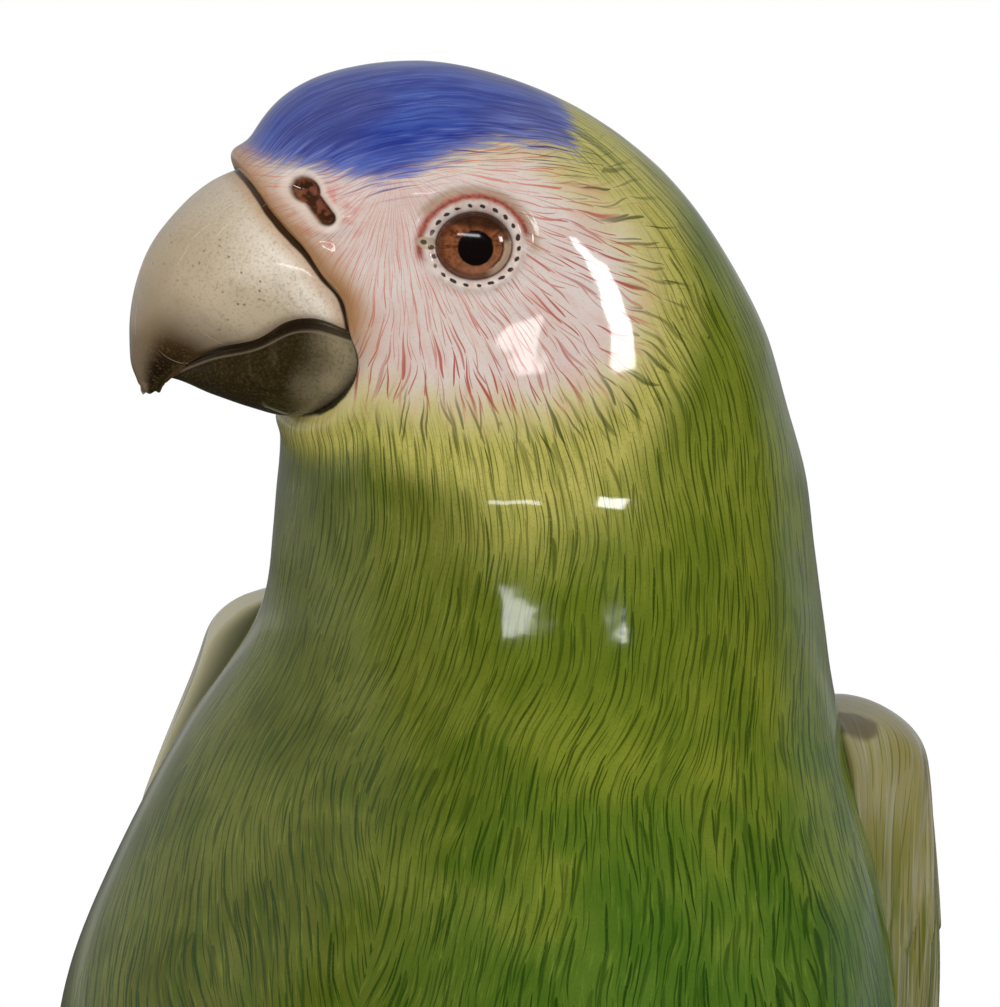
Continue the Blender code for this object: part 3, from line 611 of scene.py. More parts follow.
def wing(name, side, lift, paint):
    """A folded wing: a lens on the flank whose outside carries small feathers above and long ones below.

    Outside, it stands off by its thickness times the sine of the way round, and rises slowly at its front edge,
    where the breast runs on into it. The shoulder is furrowed, the small feathers below it are scales, and the
    long ones are tiles that rise across to a step.
    """
    rows = np.array(WING_ROWS) * np.array([TORSO_HEIGHT, CHEST_DEPTH, CHEST_DEPTH, CHEST_WIDTH, 1, 1, WING_THICKNESS])
    rows[:, 0] += PERCH_HEIGHT
    down = np.linspace(0, 1, 240)[:, None] ** 1.4
    rows = spline(rows, running(rows[:, 0], rows[:, 1]), down[:, 0])
    around = np.concatenate([np.linspace(0, math.pi, 300, endpoint=False), np.linspace(math.pi, 2 * math.pi, 61)])
    across = (1 - np.cos(around))[None, :] / 2
    z, ahead, depth, width, front, back, thickness = (rows[:, [i]] for i in range(7))
    angle = np.radians(front + (back - front) * across)
    stands = np.sin(around)[None, :] * np.where(around < math.pi, smooth(-0.02, 0.30, across), 1)
    chord = np.radians(back - front) * (width + depth) / 2 / MM * across
    fade = smooth(0, 0.10, stands) * smooth(0.0, 0.05, down)

    lane = chord / FEATHER_WIDTH + 0.8 * np.sin(5 * down)
    small_height, small_tip = scales(lane, down * FEATHER_ROWS)
    furrow = np.sin(2 * math.pi * lane) * (0.6 + 0.4 * np.sin(31 * down + chord / 3))
    shoulder = smooth(0.22, 0.05, down)
    small = 0.42 * small_height * (1 - shoulder) + 0.26 * furrow * (1 - 0.3 * shoulder)
    long_height = (across * FLIGHT_FEATHERS - 0.6 * down) % 1.0
    long_share = smooth(0.42, 0.47, down + 0.025 * np.cos(2 * math.pi * FLIGHT_FEATHERS * across))
    relief = ((1 - long_share) * small + 1.1 * long_share * long_height) * fade * MM

    inner = INNER_THICKNESS * stands * thickness / WING_THICKNESS
    off = np.where(stands > 0, thickness * stands + relief, inner) - WING_SEAT
    x = side * (width + off) * np.sin(angle)
    y = -ahead - (depth + off) * np.cos(angle)
    grid = np.stack([x, y, z + lift + 0 * x], axis=2)
    grid[:, -1] = grid[:, 0]
    tip = (1 - long_share) * small_tip + long_share * long_height
    everywhere = 0 * across
    values = {"feather_tip": tip * fade, "long_share": long_share, "down": down + everywhere, "outside": fade}
    maps = {"wing_flow": np.stack([chord, down * WING_LENGTH + everywhere], axis=2)}
    surface(name, grid, maps, values, paint)


def trunk_radius(z):
    """The stump's radius between its roots: it widens towards the foot as the square and sixth power of the way."""
    down = np.clip(1 - (z - FOOT_THICKNESS) / (PERCH_HEIGHT - FOOT_THICKNESS), 0, 1)
    return TRUNK_RADIUS + 0.1 * TRUNK_RADIUS * down + 0.35 * TRUNK_RADIUS * down**6


def stump_profile():
    """Radii and heights in metres from the top over the rim, the foot and its edge to the ceiling of the hollow.

    Returns them with the number of points down to the foot's edge, and down to where the glaze ends.
    """
    top_z, plate_z, bend_z = PERCH_HEIGHT, FOOT_THICKNESS, FOOT_THICKNESS - RIM_ROUND
    curl = [(RIM_ROUND * math.sin(a), RIM_ROUND * math.cos(a)) for a in np.linspace(0, math.pi / 2, 10)]
    flat = TRUNK_RADIUS - RIM_ROUND
    bore = trunk_radius(FOOT_THICKNESS) - WALL
    outer = [(0.0003, top_z + 0.0001), (TRUNK_RADIUS - 0.006, top_z), (flat, top_z)]
    outer += [(flat + out, top_z - RIM_ROUND + up) for out, up in curl]
    outer += [(trunk_radius(z), z) for z in np.linspace(top_z - RIM_ROUND - 0.001, plate_z + 0.0006, 170)]
    outer += [(r, plate_z + 0.0002) for r in np.linspace(0.039, 0.056, 18)]
    edge = [(FOOT_RADIUS - RIM_ROUND + out, bend_z + up) for out, up in curl]
    under = [(FOOT_RADIUS - 0.0003 * t, bend_z * (1 - t)) for t in np.linspace(0.1, 1, 8)]
    under += [(r, 0.0) for r in np.linspace(FOOT_RADIUS - 0.001, bore, 10)]
    under += [(trunk_radius(z) - WALL, z) for z in np.linspace(0.001, top_z - 0.004, 50)]
    under += [(r, top_z - 0.0035) for r in np.linspace(TRUNK_RADIUS - WALL - 0.001, 0.0003, 6)]
    return np.array(outer + edge + under), len(outer), len(outer) + len(edge) + 6


def stump(paint):
    """Trunk, roots, foot and the hollow under it, as one profile carried round and pushed out by roots and bark.

    The roots are a cosine of the way round that dies away with height, and the bark is the root of uneven noise
    drawn out upwards.
    """
    profile, outer, glazed = stump_profile()
    around = np.linspace(0, 2 * math.pi, 301)[None, :]
    index = np.arange(len(profile))[:, None]
    outside = np.where((index >= 3) & (index < outer), 1.0, 0.0)
    radius, z = profile[:, [0]], profile[:, [1]] + 0 * around
    fade = np.exp(-((z - FOOT_THICKNESS) / ROOT_RISE))
    rooted = ROOT_FLARE * fade * (0.5 + 0.5 * np.cos(ROOTS * around)) * smooth(0.056, 0.040, radius)
    radius = radius + outside * rooted
    wave = np.stack([np.sin(around) + 0 * z, np.cos(around) + 0 * z, 0.25 * z / TRUNK_RADIUS], axis=2)
    bark = np.abs(ripple(wave, 0.55, 21, 3)) ** 0.7
    strength = outside * smooth(PERCH_HEIGHT + 0.001, PERCH_HEIGHT - 0.010, z) * smooth(0.055, 0.045, radius)
    lumps = outside * smooth(0.036, 0.046, radius) * smooth(0.0595, 0.056, radius)
    radius = radius + 0.0011 * (bark - 0.4) * strength
    grid = np.stack([radius * np.sin(around), -radius * np.cos(around), z], axis=2)
    grid[..., 2] += 0.0005 * lumps * ripple(grid, 0.016, 22, 2)
    grid[:, -1] = grid[:, 0]
    values = {"bark": bark * strength, "glazed": np.where(index < glazed, 1.0, 0.0) + 0 * around}
    maps = {"stump_flow": np.stack([around * 30 + 0 * z, z / MM], axis=2)}
    surface("stump", grid, maps, values, paint)


def toe(name, angle, paint):
    """A toe that grips the rim of the stump: a round section along a bent path, with rings of scales and a claw."""
    rim = TRUNK_RADIUS
    path = np.array([
        (rim - 0.0120, PERCH_HEIGHT + 0.0020, TOE_RADIUS),
        (rim - 0.0060, PERCH_HEIGHT + 0.0022, 1.05 * TOE_RADIUS),
        (rim - 0.0005, PERCH_HEIGHT + 0.0008, TOE_RADIUS),
        (rim + 0.0022, PERCH_HEIGHT - 0.0040, 0.95 * TOE_RADIUS),
        (rim + 0.0022, PERCH_HEIGHT - 0.0090, 0.80 * TOE_RADIUS),
        (rim + 0.0020, PERCH_HEIGHT - 0.0120, 0.50 * TOE_RADIUS),
        (rim + 0.0005, PERCH_HEIGHT - 0.0120 - CLAW_LENGTH, 0.08 * TOE_RADIUS),
    ])
    path = spline(path, running(path[:, 0], path[:, 1]), np.linspace(0, 1, 130))
    slope = np.gradient(path[:, :2], axis=0)
    slope /= np.linalg.norm(slope, axis=1)[:, None]
    around = np.linspace(0, 2 * math.pi, 65)[None, :]
    length = running(path[:, 0], path[:, 1])[:, None] / MM
    on_toe = smooth(24.0, 21.0, length)
    ringed = 0.22 * on_toe * np.abs(np.sin(math.pi * length / 2.2)) * smooth(-0.5, 0.5, np.cos(around))
    radius = path[:, [2]] + ringed * MM
    out = path[:, [0]] - slope[:, [1]] * radius * np.cos(around)
    up = path[:, [1]] + slope[:, [0]] * radius * np.cos(around)
    across = radius * np.sin(around)
    turn = math.radians(angle)
    x = out * math.sin(turn) + across * math.cos(turn)
    y = -out * math.cos(turn) + across * math.sin(turn)
    grid = np.stack([x, y, up], axis=2)
    grid[:, -1] = grid[:, 0]
    surface(name, grid, {}, {"claw": 1 - on_toe + 0 * around, "scale": ringed}, paint)


def tint(red, green, blue):
    """A colour given as it looks on a screen, 0 to 255, as the amounts of light that a shader takes."""
    share = np.array([red, green, blue]) / 255
    light = np.where(share <= 0.04045, share / 12.92, ((share + 0.055) / 1.055) ** 2.4)
    return (*light.tolist(), 1.0)


class Palette:
    """Adds nodes to one tree: each call makes a node, wires what it is given and returns what comes out."""

    def __init__(self, tree):
        self.tree = tree

    def node(self, kind, values=(), out=0, **settings):
        made = self.tree.nodes.new(kind)
        for setting, value in settings.items():
            setattr(made, setting, value)
        for socket, value in (values.items() if isinstance(values, dict) else enumerate(values)):
            self.feed(made.inputs[socket], value)
        return made.outputs[out]

    def feed(self, socket, value):
        """Gives a socket what another node puts out, or a constant."""
        if isinstance(value, bpy.types.NodeSocket):
            self.tree.links.new(value, socket)
        else:
            socket.default_value = value

    def math(self, operation, *values):
        return self.node("ShaderNodeMath", values, operation=operation)

    def chain(self, operation, values):
        total = values[0]
        for value in values[1:]:
            total = self.math(operation, total, value)
        return total

    def add(self, *values):
        return self.chain("ADD", values)

    def times(self, *values):
        return self.chain("MULTIPLY", values)

    def most(self, *values):
        return self.chain("MAXIMUM", values)

    def less(self, first, second):
        return self.math("SUBTRACT", first, second)

    def over(self, value, unit):
        return self.math("DIVIDE", value, unit)

    def length(self, first, second):
        """The length of a flat vector with these two parts."""
        return self.math("SQRT", self.add(self.math("POWER", first, 2.0), self.math("POWER", second, 2.0)))

    def rise(self, value, low, high, start=0.0, end=1.0):
        """From start to end as the value goes from low to high, smoothly."""
        return self.node("ShaderNodeMapRange", (value, low, high, start, end), interpolation_type="SMOOTHSTEP")

    def bell(self, value, centre, width):
        """1 at the centre, falling off on both sides as a bell."""
        off = self.over(self.less(value, centre), width)
        return self.math("EXPONENT", self.times(off, off, -1.0))

    def mix(self, share, first, second):
        return self.node("ShaderNodeMix", {0: share, 6: first, 7: second}, out=2, data_type="RGBA")

    def noise(self, place, scale, detail=2.0):
        return self.node("ShaderNodeTexNoise", {"Vector": place, "Scale": scale, "Detail": detail})

    def cells(self, place, scale):
        """Distance to the nearest of many scattered points, in cells."""
        return self.node("ShaderNodeTexVoronoi", {"Vector": place, "Scale": scale})

    def vector(self, x, y, z=0.0):
        return self.node("ShaderNodeCombineXYZ", (x, y, z))

    def parts(self, vector):
        apart = self.node("ShaderNodeSeparateXYZ", (vector,))
        return tuple(apart.node.outputs)

    def flow(self, name):
        """Places across and along one of the piece's own maps, in millimetres."""
        return self.parts(self.node("ShaderNodeUVMap", uv_map=name))[:2]

    def choose(self, share, first, second):
        """The first flow where the share is 0 and the second where it is 1."""
        return tuple(self.add(a, self.times(share, self.less(b, a))) for a, b in zip(first, second))

    def value(self, name):
        return self.node("ShaderNodeAttribute", out=2, attribute_name=name)

    def place(self):
        return self.node("ShaderNodeTexCoord", out=3)

    def height(self):
        """Height above the table in millimetres."""
        return self.times(self.parts(self.place())[2], 1000.0)

    def streaks(self, flow, width, length, seed):
        """Noise drawn out along a flow: its cells are this wide and this long."""
        return self.noise(self.vector(self.over(flow[0], width), self.over(flow[1], length), seed), 1.0)

    def ink(self, flow, *layers):
        """The most ink of some layers of strokes: each has a seed, a pitch, a length, a width and a share drawn."""
        return self.most(*(self.node("ShaderNodeGroup", (*flow, *layer), node_tree=STROKES) for layer in layers))


def brush_stroke_group():
    """Ink of one layer of tapered brush strokes.

    The flow is cut into columns one pitch wide, and each column into cells one length long with its own start.
    A cell holds one stroke, moved and leaned a little by its own random numbers. Its half width grows as the
    way along and shrinks as the root of the way left, and its ink fades over the outer part of that.
    """
    group = bpy.data.node_groups.new("brush_strokes", "ShaderNodeTree")
    for name in ("Across", "Along", "Seed", "Pitch", "Length", "Width", "Share"):
        group.interface.new_socket(name=name, in_out="INPUT", socket_type="NodeSocketFloat")
    group.interface.new_socket(name="Ink", in_out="OUTPUT", socket_type="NodeSocketFloat")
    p = Palette(group)
    across, along, seed, pitch, length, width, share = tuple(group.nodes.new("NodeGroupInput").outputs)[:7]
    column_at = p.add(p.over(across, pitch), p.times(seed, 13.7))
    column = p.math("FLOOR", column_at)
    start = p.node("ShaderNodeTexWhiteNoise", {"W": p.add(column, p.times(seed, 7.31))}, noise_dimensions="1D")
    cell_at = p.add(p.over(along, length), p.times(start, 9.3))
    own = p.vector(p.add(column, seed), p.math("FLOOR", cell_at))
    first, second, third = p.parts(p.node("ShaderNodeTexWhiteNoise", {"Vector": own}, out=1, noise_dimensions="2D"))
    side = p.less(p.math("FRACT", column_at), 0.5)
    way = p.math("FRACT", cell_at)
    bend = p.times(p.less(second, 0.5), p.less(p.times(way, way), 0.3), 0.6)
    lean = p.times(p.less(p.math("FRACT", p.times(third, 3.7)), 0.5), p.less(way, 0.5), 0.8)
    off = p.math("ABSOLUTE", p.add(side, p.times(p.less(first, 0.5), -0.3), bend, lean))
    taper = p.times(2.6, way, p.math("POWER", p.less(1.0, way), 0.5))
    half = p.times(p.over(width, pitch), 0.5, taper, p.add(0.45, p.times(third, 0.9)))
    ink = p.rise(off, p.times(half, 0.35), p.add(half, 0.001), 1.0, 0.0)
    drawn = p.math("LESS_THAN", p.math("FRACT", p.times(first, 7.3)), share)
    strength = p.add(0.5, p.times(0.5, p.math("FRACT", p.times(second, 5.1))))
    p.feed(group.nodes.new("NodeGroupOutput").inputs[0], p.times(ink, drawn, strength))
    return group


STROKES = brush_stroke_group()


def glaze(name, roughness=0.07):
    """A new glossy material: its palette and its shader."""
    material = bpy.data.materials.new(name)
    material.use_nodes = True
    shader = material.node_tree.nodes["Principled BSDF"]
    shader.inputs["Roughness"].default_value = roughness
    shader.inputs["IOR"].default_value = 1.5
    return material, Palette(material.node_tree), shader


def finish_glaze(p, shader, colour):
    """Sets the colour, and gives the glaze its own slight unevenness: soft waves and a finer orange peel."""
    place = p.place()
    uneven = p.add(p.times(p.noise(place, 110.0, 0.0), 1.2), p.times(p.noise(place, 900.0, 0.0), 0.16))
    bump = p.node("ShaderNodeBump", {"Strength": 0.6, "Distance": 0.03 * MM, "Height": uneven})
    p.feed(shader.inputs["Normal"], bump)
    p.feed(shader.inputs["Base Color"], colour)


def painted_iris(p, x, y, reach, rays, mottle):
    """Brown with darker rays, shaded by the lid above, with a pale crescent low at the rim and a black pupil."""
    upper = p.add(p.times(y, 0.34), p.times(x, -0.06), p.times(p.less(mottle, 0.5), 0.3))
    grain = p.rise(p.add(p.times(rays, 0.6), p.times(mottle, 0.5)), 0.40, 0.70)
    iris = p.mix(grain, tint(88, 42, 18), tint(146, 90, 58))
    lit = p.rise(p.add(p.times(y, -0.35), p.times(x, -0.10)), -0.1, 1.3, 0.0, 0.5)
    iris = p.mix(lit, iris, tint(172, 122, 92))
    iris = p.mix(p.rise(p.add(reach, p.times(mottle, 0.2)), 0.88, 1.06, 0.0, 0.7), iris, tint(78, 42, 26))
    iris = p.mix(p.rise(upper, 0.55, 0.85, 0.0, 0.85), iris, tint(46, 26, 16))
    by_rim = p.times(p.rise(x, -1.0, -2.4), p.rise(y, 0.9, 0.0))
    iris = p.mix(p.times(p.bell(reach, 0.79, 0.03), by_rim, 0.8), iris, tint(66, 38, 24))
    crescent = p.rise(p.add(reach, p.times(p.less(mottle, 0.5), 0.08)), 0.80, 0.86)
    iris = p.mix(p.times(crescent, by_rim, 0.75), iris, tint(200, 172, 144))
    return iris


def painted_eye(p, colour):
    """The eye over the face: pupil, iris, dashed white rim and lid, on the eye's own plane in millimetres."""
    x, y = p.flow("eye_plane")
    off_side = p.rise(p.value("head_side"), 5.0, 7.0, 20.0, 0.0)
    round_x, round_y = p.over(x, EYE_LONG), p.over(y, EYE_TALL)
    reach = p.add(p.length(round_x, round_y), off_side)
    angle = p.math("ARCTAN2", round_y, round_x)
    on_eye = p.vector(x, y)
    wobble = p.times(p.less(p.noise(on_eye, 1.3), 0.5), 0.14)
    around = p.vector(p.times(p.math("COSINE", angle), 2.2), p.times(p.math("SINE", angle), 2.2), p.times(reach, 0.25))
    rays = p.noise(around, 3.0, 3.0)
    mottle = p.noise(on_eye, 2.2, 3.0)
    iris = painted_iris(p, x, y, reach, rays, mottle)
    pupil_reach = p.length(p.less(x, -0.1), p.add(y, 0.2))
    iris = p.mix(p.rise(p.add(pupil_reach, wobble), 1.85, 2.1, 1.0, 0.0), iris, tint(16, 10, 9))

    lid = p.mix(p.rise(p.noise(on_eye, 0.9), 0.4, 0.6), tint(230, 218, 208), tint(220, 196, 184))
    white = p.rise(p.add(reach, p.times(wobble, 0.4)), 1.42, 1.50, 1.0, 0.0)
    above = p.rise(p.add(y, p.times(x, 0.2)), -1.2, 0.6)
    fold = p.times(p.bell(p.add(reach, p.times(wobble, 0.6)), 1.51, 0.13), above)
    shadow = p.times(p.bell(reach, 1.70, 0.16), p.rise(p.add(y, p.times(x, -0.35)), 0.4, 2.6), 0.6)
    colour = p.mix(shadow, colour, tint(160, 132, 88))
    colour = p.mix(p.times(white, 0.85), colour, lid)
    red = p.mix(p.rise(mottle, 0.4, 0.6), tint(172, 76, 56), tint(132, 58, 38))
    colour = p.mix(p.times(fold, 0.95), colour, red)

    tick = p.less(p.math("FRACT", p.add(p.times(angle, 22.0 / (2 * math.pi)), p.times(rays, 0.5))), 0.5)
    lean = p.add(p.less(reach, 1.24), p.times(tick, 0.06), p.times(p.less(mottle, 0.5), 0.06))
    dash = p.add(p.length(p.over(tick, 0.27), p.over(lean, 0.058)), p.times(p.less(rays, 0.5), 0.8))
    by_corner = p.times(p.rise(x, 3.1, 3.7), p.bell(y, -0.4, 1.5))
    dash = p.times(p.rise(dash, 0.75, 1.1, 1.0, 0.0), p.less(1.0, by_corner))
    colour = p.mix(p.times(dash, 0.94), colour, tint(26, 20, 22))

    past = p.less(x, 5.1)
    corner = p.length(p.times(past, 0.75), p.times(p.less(y, p.add(0.35, p.times(past, 0.15))), 1.35))
    corner = p.add(corner, off_side, wobble)
    colour = p.mix(p.rise(corner, 0.85, 1.05, 0.85, 0.0), colour, tint(190, 172, 144))
    for dot_x, dot_y, size in ((5.55, 0.5, 0.42), (4.75, -0.1, 0.40), (4.4, -1.1, 0.42)):
        dot = p.length(p.less(x, dot_x), p.times(p.less(y, dot_y), 1.25))
        dot = p.add(dot, off_side, p.times(wobble, 1.5))
        colour = p.mix(p.rise(dot, size, 0.7 * size, 0.0, 0.85), colour, tint(58, 36, 28))
    rim = p.rise(p.add(reach, p.times(wobble, 0.3)), 1.0, 1.07, 1.0, 0.0)
    colour = p.mix(p.bell(reach, 1.05, 0.05), colour, tint(88, 50, 36))
    return p.mix(rim, colour, iris)


def painted_feathers(name, with_head):
    """The skin's paint: green strokes on yellow-green and, on the head, a blue cap and a pale face with red strokes."""
    material, p, shader = glaze(name)
    place = p.place()
    z = p.height()
    drift = p.less(p.noise(place, 38.0, 1.0), 0.5)
    waver = p.less(p.noise(place, 170.0, 1.0), 0.5)

    def wavering(flow, slow, fast):
        across, along = p.flow(flow)
        return p.add(across, p.times(drift, slow), p.times(waver, fast)), along

    neck = wavering("neck_flow", 9.0, 0.8)
    long_flow = neck
    if with_head:
        cap = p.value("crown_depth")
        face = wavering("face_flow", 4.0, 1.1)
        crown = wavering("crown_flow", 1.5, 0.8)
        long_flow = p.choose(p.math("GREATER_THAN", cap, 0.0), neck, (p.times(crown[0], 2.1), crown[1]))
        short_flow = p.choose(p.math("GREATER_THAN", cap, -3.6), face, (p.times(crown[0], 1.2), crown[1]))
    cloud = p.noise(place, 70.0)
    uneven = p.less(cloud, 0.5)
    grain = p.noise(place, 4200.0, 1.0)
    edge = p.value("face_depth")
    pale = p.add(p.value("paleness"), p.times(p.rise(edge, -9.0, -1.0), 0.7), p.times(uneven, 0.5))
    low = p.rise(p.add(z, p.times(uneven, 50.0)), 244.0, 212.0)

    ground = p.mix(p.rise(cloud, 0.34, 0.68), tint(102, 118, 30), tint(128, 138, 42))
    ground = p.mix(low, ground, p.mix(p.rise(cloud, 0.36, 0.68), tint(76, 109, 29), tint(91, 123, 41)))
    ground = p.mix(p.value("shade"), ground, p.mix(p.rise(cloud, 0.36, 0.66), tint(82, 88, 20), tint(104, 110, 42)))
    ground = p.mix(p.rise(pale, 0.1, 1.0), ground, tint(192, 184, 96))
    broad = p.streaks(neck, 1.4, 9.0, 3.0)
    ground = p.mix(p.rise(broad, 0.45, 0.72, 0.0, 0.4), ground, p.mix(low, tint(90, 108, 22), tint(56, 92, 16)))
    fine = p.streaks(neck, 0.35, 4.0, 8.0)
    ground = p.mix(p.rise(fine, 0.52, 0.78, 0.0, 0.35), ground, p.mix(pale, tint(142, 156, 56), tint(210, 204, 130)))
    ground = p.mix(p.rise(grain, 0.50, 0.75, 0.0, 0.25), ground, tint(60, 64, 14))
    dark = p.mix(p.rise(pale, 0.2, 0.9), p.mix(low, tint(36, 58, 4), tint(18, 52, 8)), tint(66, 74, 12))
    long_ink = p.ink(long_flow, (1.0, 1.45, 7.5, 0.44, 0.85), (2.3, 1.85, 9.0, 0.54, 0.80))
    heads = p.ink(neck, (5.9, 2.80, 5.0, 0.90, 0.22))
    inked = p.most(long_ink, p.ink(neck, (3.7, 1.15, 6.0, 0.30, 0.80)), p.times(heads, 0.8))
    inked = p.times(inked, p.rise(grain, 0.78, 0.50, 0.5, 1.0))
    body = p.mix(p.times(inked, 0.88), ground, dark)
    if not with_head:
        finish_glaze(p, shader, body)
        return material

    short = p.ink(short_flow, (7.0, 0.95, 5.0, 0.20, 0.85), (8.0, 1.25, 6.5, 0.27, 0.8))
    colour = painted_face(p, body, face, short, edge, waver, grain)
    colour = painted_eye(p, colour)
    colour = painted_cap(p, colour, crown, cap, long_ink, grain)
    violet = p.times(short, p.rise(cap, -3.6, -0.6), p.rise(cap, 3.6, 0.6), 0.75)
    colour = p.mix(violet, colour, tint(66, 50, 124))
    colour = painted_nostril(p, colour, cap)
    colour = painted_cere(p, colour, z)
    speck = p.times(p.rise(p.cells(place, 330.0), 0.10, 0.05), p.rise(p.noise(place, 45.0, 1.0), 0.62, 0.70))
    colour = p.mix(p.times(speck, 0.7), colour, tint(34, 26, 24))
    finish_glaze(p, shader, colour)
    return material


def painted_face(p, body, face, short, edge, waver, grain):
    """The pale face laid over the green: a pink wash, red strokes that fan out, and a ragged yellowish edge."""
    wash = p.rise(p.noise(p.place(), 130.0), 0.40, 0.66)
    skin = p.mix(wash, tint(226, 212, 204), tint(221, 200, 190))
    ragged = p.add(edge, p.times(p.less(p.streaks(face, 0.9, 8.0, 2.0), 0.5), 4.5))
    skin = p.mix(p.rise(ragged, 6.5, 0.4, 0.0, 0.9), skin, tint(206, 196, 122))
    red = p.ink(face, (1.0, 1.05, 4.5, 0.20, 0.9), (2.0, 1.35, 6.0, 0.27, 0.85), (3.0, 0.80, 3.8, 0.16, 0.9))
    blush = p.rise(p.streaks(face, 0.9, 5.0, 5.0), 0.48, 0.74)
    skin = p.mix(p.times(blush, 0.30), skin, tint(218, 152, 134))
    skin = p.mix(p.rise(grain, 0.52, 0.76, 0.0, 0.16), skin, tint(150, 116, 100))
    lower = p.rise(p.add(face[1], p.times(waver, 8.0)), 12.0, 25.0)
    hot = p.mix(lower, tint(216, 112, 88), tint(172, 52, 34))
    shown = p.times(red, p.rise(edge, 0.5, 3.5, 0.25, 0.9), p.add(0.85, p.times(lower, 0.15)))
    skin = p.mix(shown, skin, hot)
    colour = p.mix(p.rise(ragged, -2.6, 2.2), body, skin)
    by_edge = p.times(p.rise(edge, 5.0, 2.0), p.rise(edge, -5.0, -1.5))
    fringe = p.times(short, by_edge, p.rise(p.value("cere_distance"), -2.0, -5.0), 0.85)
    return p.mix(fringe, colour, p.mix(p.rise(edge, 3.0, 0.0), tint(110, 100, 84), tint(58, 68, 20)))


def painted_cap(p, colour, crown, cap, long_ink, grain):
    """The blue crown, paler in streaks and towards its hem, whose edge is drawn out along the strokes."""
    place = p.place()
    streak = p.streaks(crown, 0.35, 6.0, 4.0)
    blue = p.mix(p.rise(p.streaks(crown, 1.3, 10.0, 1.0), 0.35, 0.65), tint(40, 58, 146), tint(72, 94, 174))
    blue = p.mix(p.rise(p.noise(place, 85.0), 0.42, 0.64, 0.0, 0.7), blue, tint(70, 74, 134))
    blue = p.mix(p.times(long_ink, 0.55), blue, tint(22, 34, 116))
    blue = p.mix(p.times(p.rise(streak, 0.56, 0.76), 0.42), blue, tint(128, 142, 200))
    blue = p.mix(p.rise(grain, 0.52, 0.72, 0.0, 0.14), blue, tint(30, 34, 80))
    blue = p.mix(p.times(p.rise(cap, 4.0, 0.6), p.rise(streak, 0.40, 0.62), 0.6), blue, tint(126, 138, 200))
    hem = p.add(cap, p.times(p.less(streak, 0.5), 4.6))
    return p.mix(p.rise(hem, -1.2, 1.2), colour, blue)


def painted_nostril(p, colour, cap):
    """A mottled brown hole with a pale rim, partly a painted highlight, and red blots round it."""
    place = p.place()
    gap = p.value("nostril_gap")
    patchy = p.rise(p.noise(place, 500.0, 1.0), 0.48, 0.62)
    blots = p.times(p.bell(gap, 1.6, 1.3), patchy, p.rise(cap, -0.5, -2.5), 0.45)
    colour = p.mix(blots, colour, tint(206, 96, 78))
    # The pale rim: partly the skin's own colour, partly a painted highlight on the raised rim.
    colour = p.mix(p.rise(gap, 1.1, 0.5, 0.0, 0.7), colour, tint(236, 222, 208))
    hole = p.mix(p.rise(p.noise(place, 900.0), 0.42, 0.60), tint(70, 42, 26), tint(140, 84, 62))
    return p.mix(p.rise(gap, 0.30, -0.10), colour, hole)


def painted_cere(p, colour, z):
    """A brown wash on the skin towards the beak, and the dark line of the groove, thicker above."""
    groove = p.add(p.value("cere_distance"), p.times(p.less(p.noise(p.place(), 300.0, 1.0), 0.5), 0.6))
    upper = p.rise(z, 277.0, 284.0)
    wash = p.times(p.rise(groove, -4.2, -0.4), p.add(0.10, p.times(upper, 0.85)))
    colour = p.mix(wash, colour, tint(176, 128, 80))
    thick = p.rise(z, 281.0, 298.0, -0.10, -0.55)
    line = p.mix(upper, tint(44, 36, 16), tint(62, 42, 24))
    return p.mix(p.rise(groove, thick, p.add(thick, 0.35)), colour, line)


def upper_beak_paint():
    """Grey beige, darker and browner towards the tip, with fine dark specks and a brown line at its root."""
    material, p, shader = glaze("upper_beak_glaze", 0.11)
    place = p.place()
    along = p.value("along")
    above_edge = p.value("edge_rise")
    flow = p.flow("beak_flow")
    cloud = p.less(p.noise(place, 120.0), 0.5)
    wave = p.add(along, p.times(cloud, 0.16))
    # Near white at the root: partly the beak's own pale colour, partly a painted soft highlight.
    colour = p.mix(p.rise(wave, 0.22, 0.55), tint(255, 244, 228), tint(200, 182, 154))
    colour = p.mix(p.rise(wave, 0.58, 0.86), colour, tint(76, 55, 30))
    colour = p.mix(p.rise(wave, 0.80, 0.96), colour, tint(38, 26, 14))
    growth = p.times(p.rise(p.streaks(flow, 0.5, 3.0, 1.0), 0.5, 0.75, 0.0, 0.25), p.rise(wave, 0.80, 0.60))
    colour = p.mix(growth, colour, tint(150, 130, 104))
    sand = p.noise(place, 3200.0, 1.0)
    colour = p.mix(p.rise(sand, 0.50, 0.74, 0.0, 0.30), colour, tint(128, 104, 76))
    colour = p.mix(p.times(p.rise(sand, 0.50, 0.26, 0.0, 0.25), p.rise(wave, 0.60, 0.40)), colour, tint(246, 238, 224))
    specks = p.times(p.rise(p.cells(place, 900.0), 0.20, 0.08), p.rise(p.noise(place, 260.0, 1.0), 0.45, 0.62))
    colour = p.mix(p.times(specks, 0.65), colour, tint(84, 62, 44))
    # Painted shade: the ridge darker than the sides.
    colour = p.mix(p.rise(above_edge, 0.55, 0.95, 0.0, 0.5), colour, tint(168, 148, 118))
    colour = p.mix(p.times(p.rise(above_edge, 0.16, 0.02), 0.65), colour, tint(96, 70, 44))
    root = p.add(p.value("cere_distance"), p.times(cloud, 1.2))
    colour = p.mix(p.rise(root, 2.6, 0.4, 0.0, 0.6), colour, tint(182, 134, 84))
    thick = p.rise(p.height(), 284.0, 297.0, 0.12, 0.45)
    colour = p.mix(p.rise(root, p.add(thick, 0.3), thick), colour, tint(62, 42, 24))
    scratches = p.ink(flow, (4.0, 1.8, 5.0, 0.10, 0.18))
    colour = p.mix(p.times(scratches, 0.45), colour, tint(236, 226, 210))
    finish_glaze(p, shader, colour)
    return material


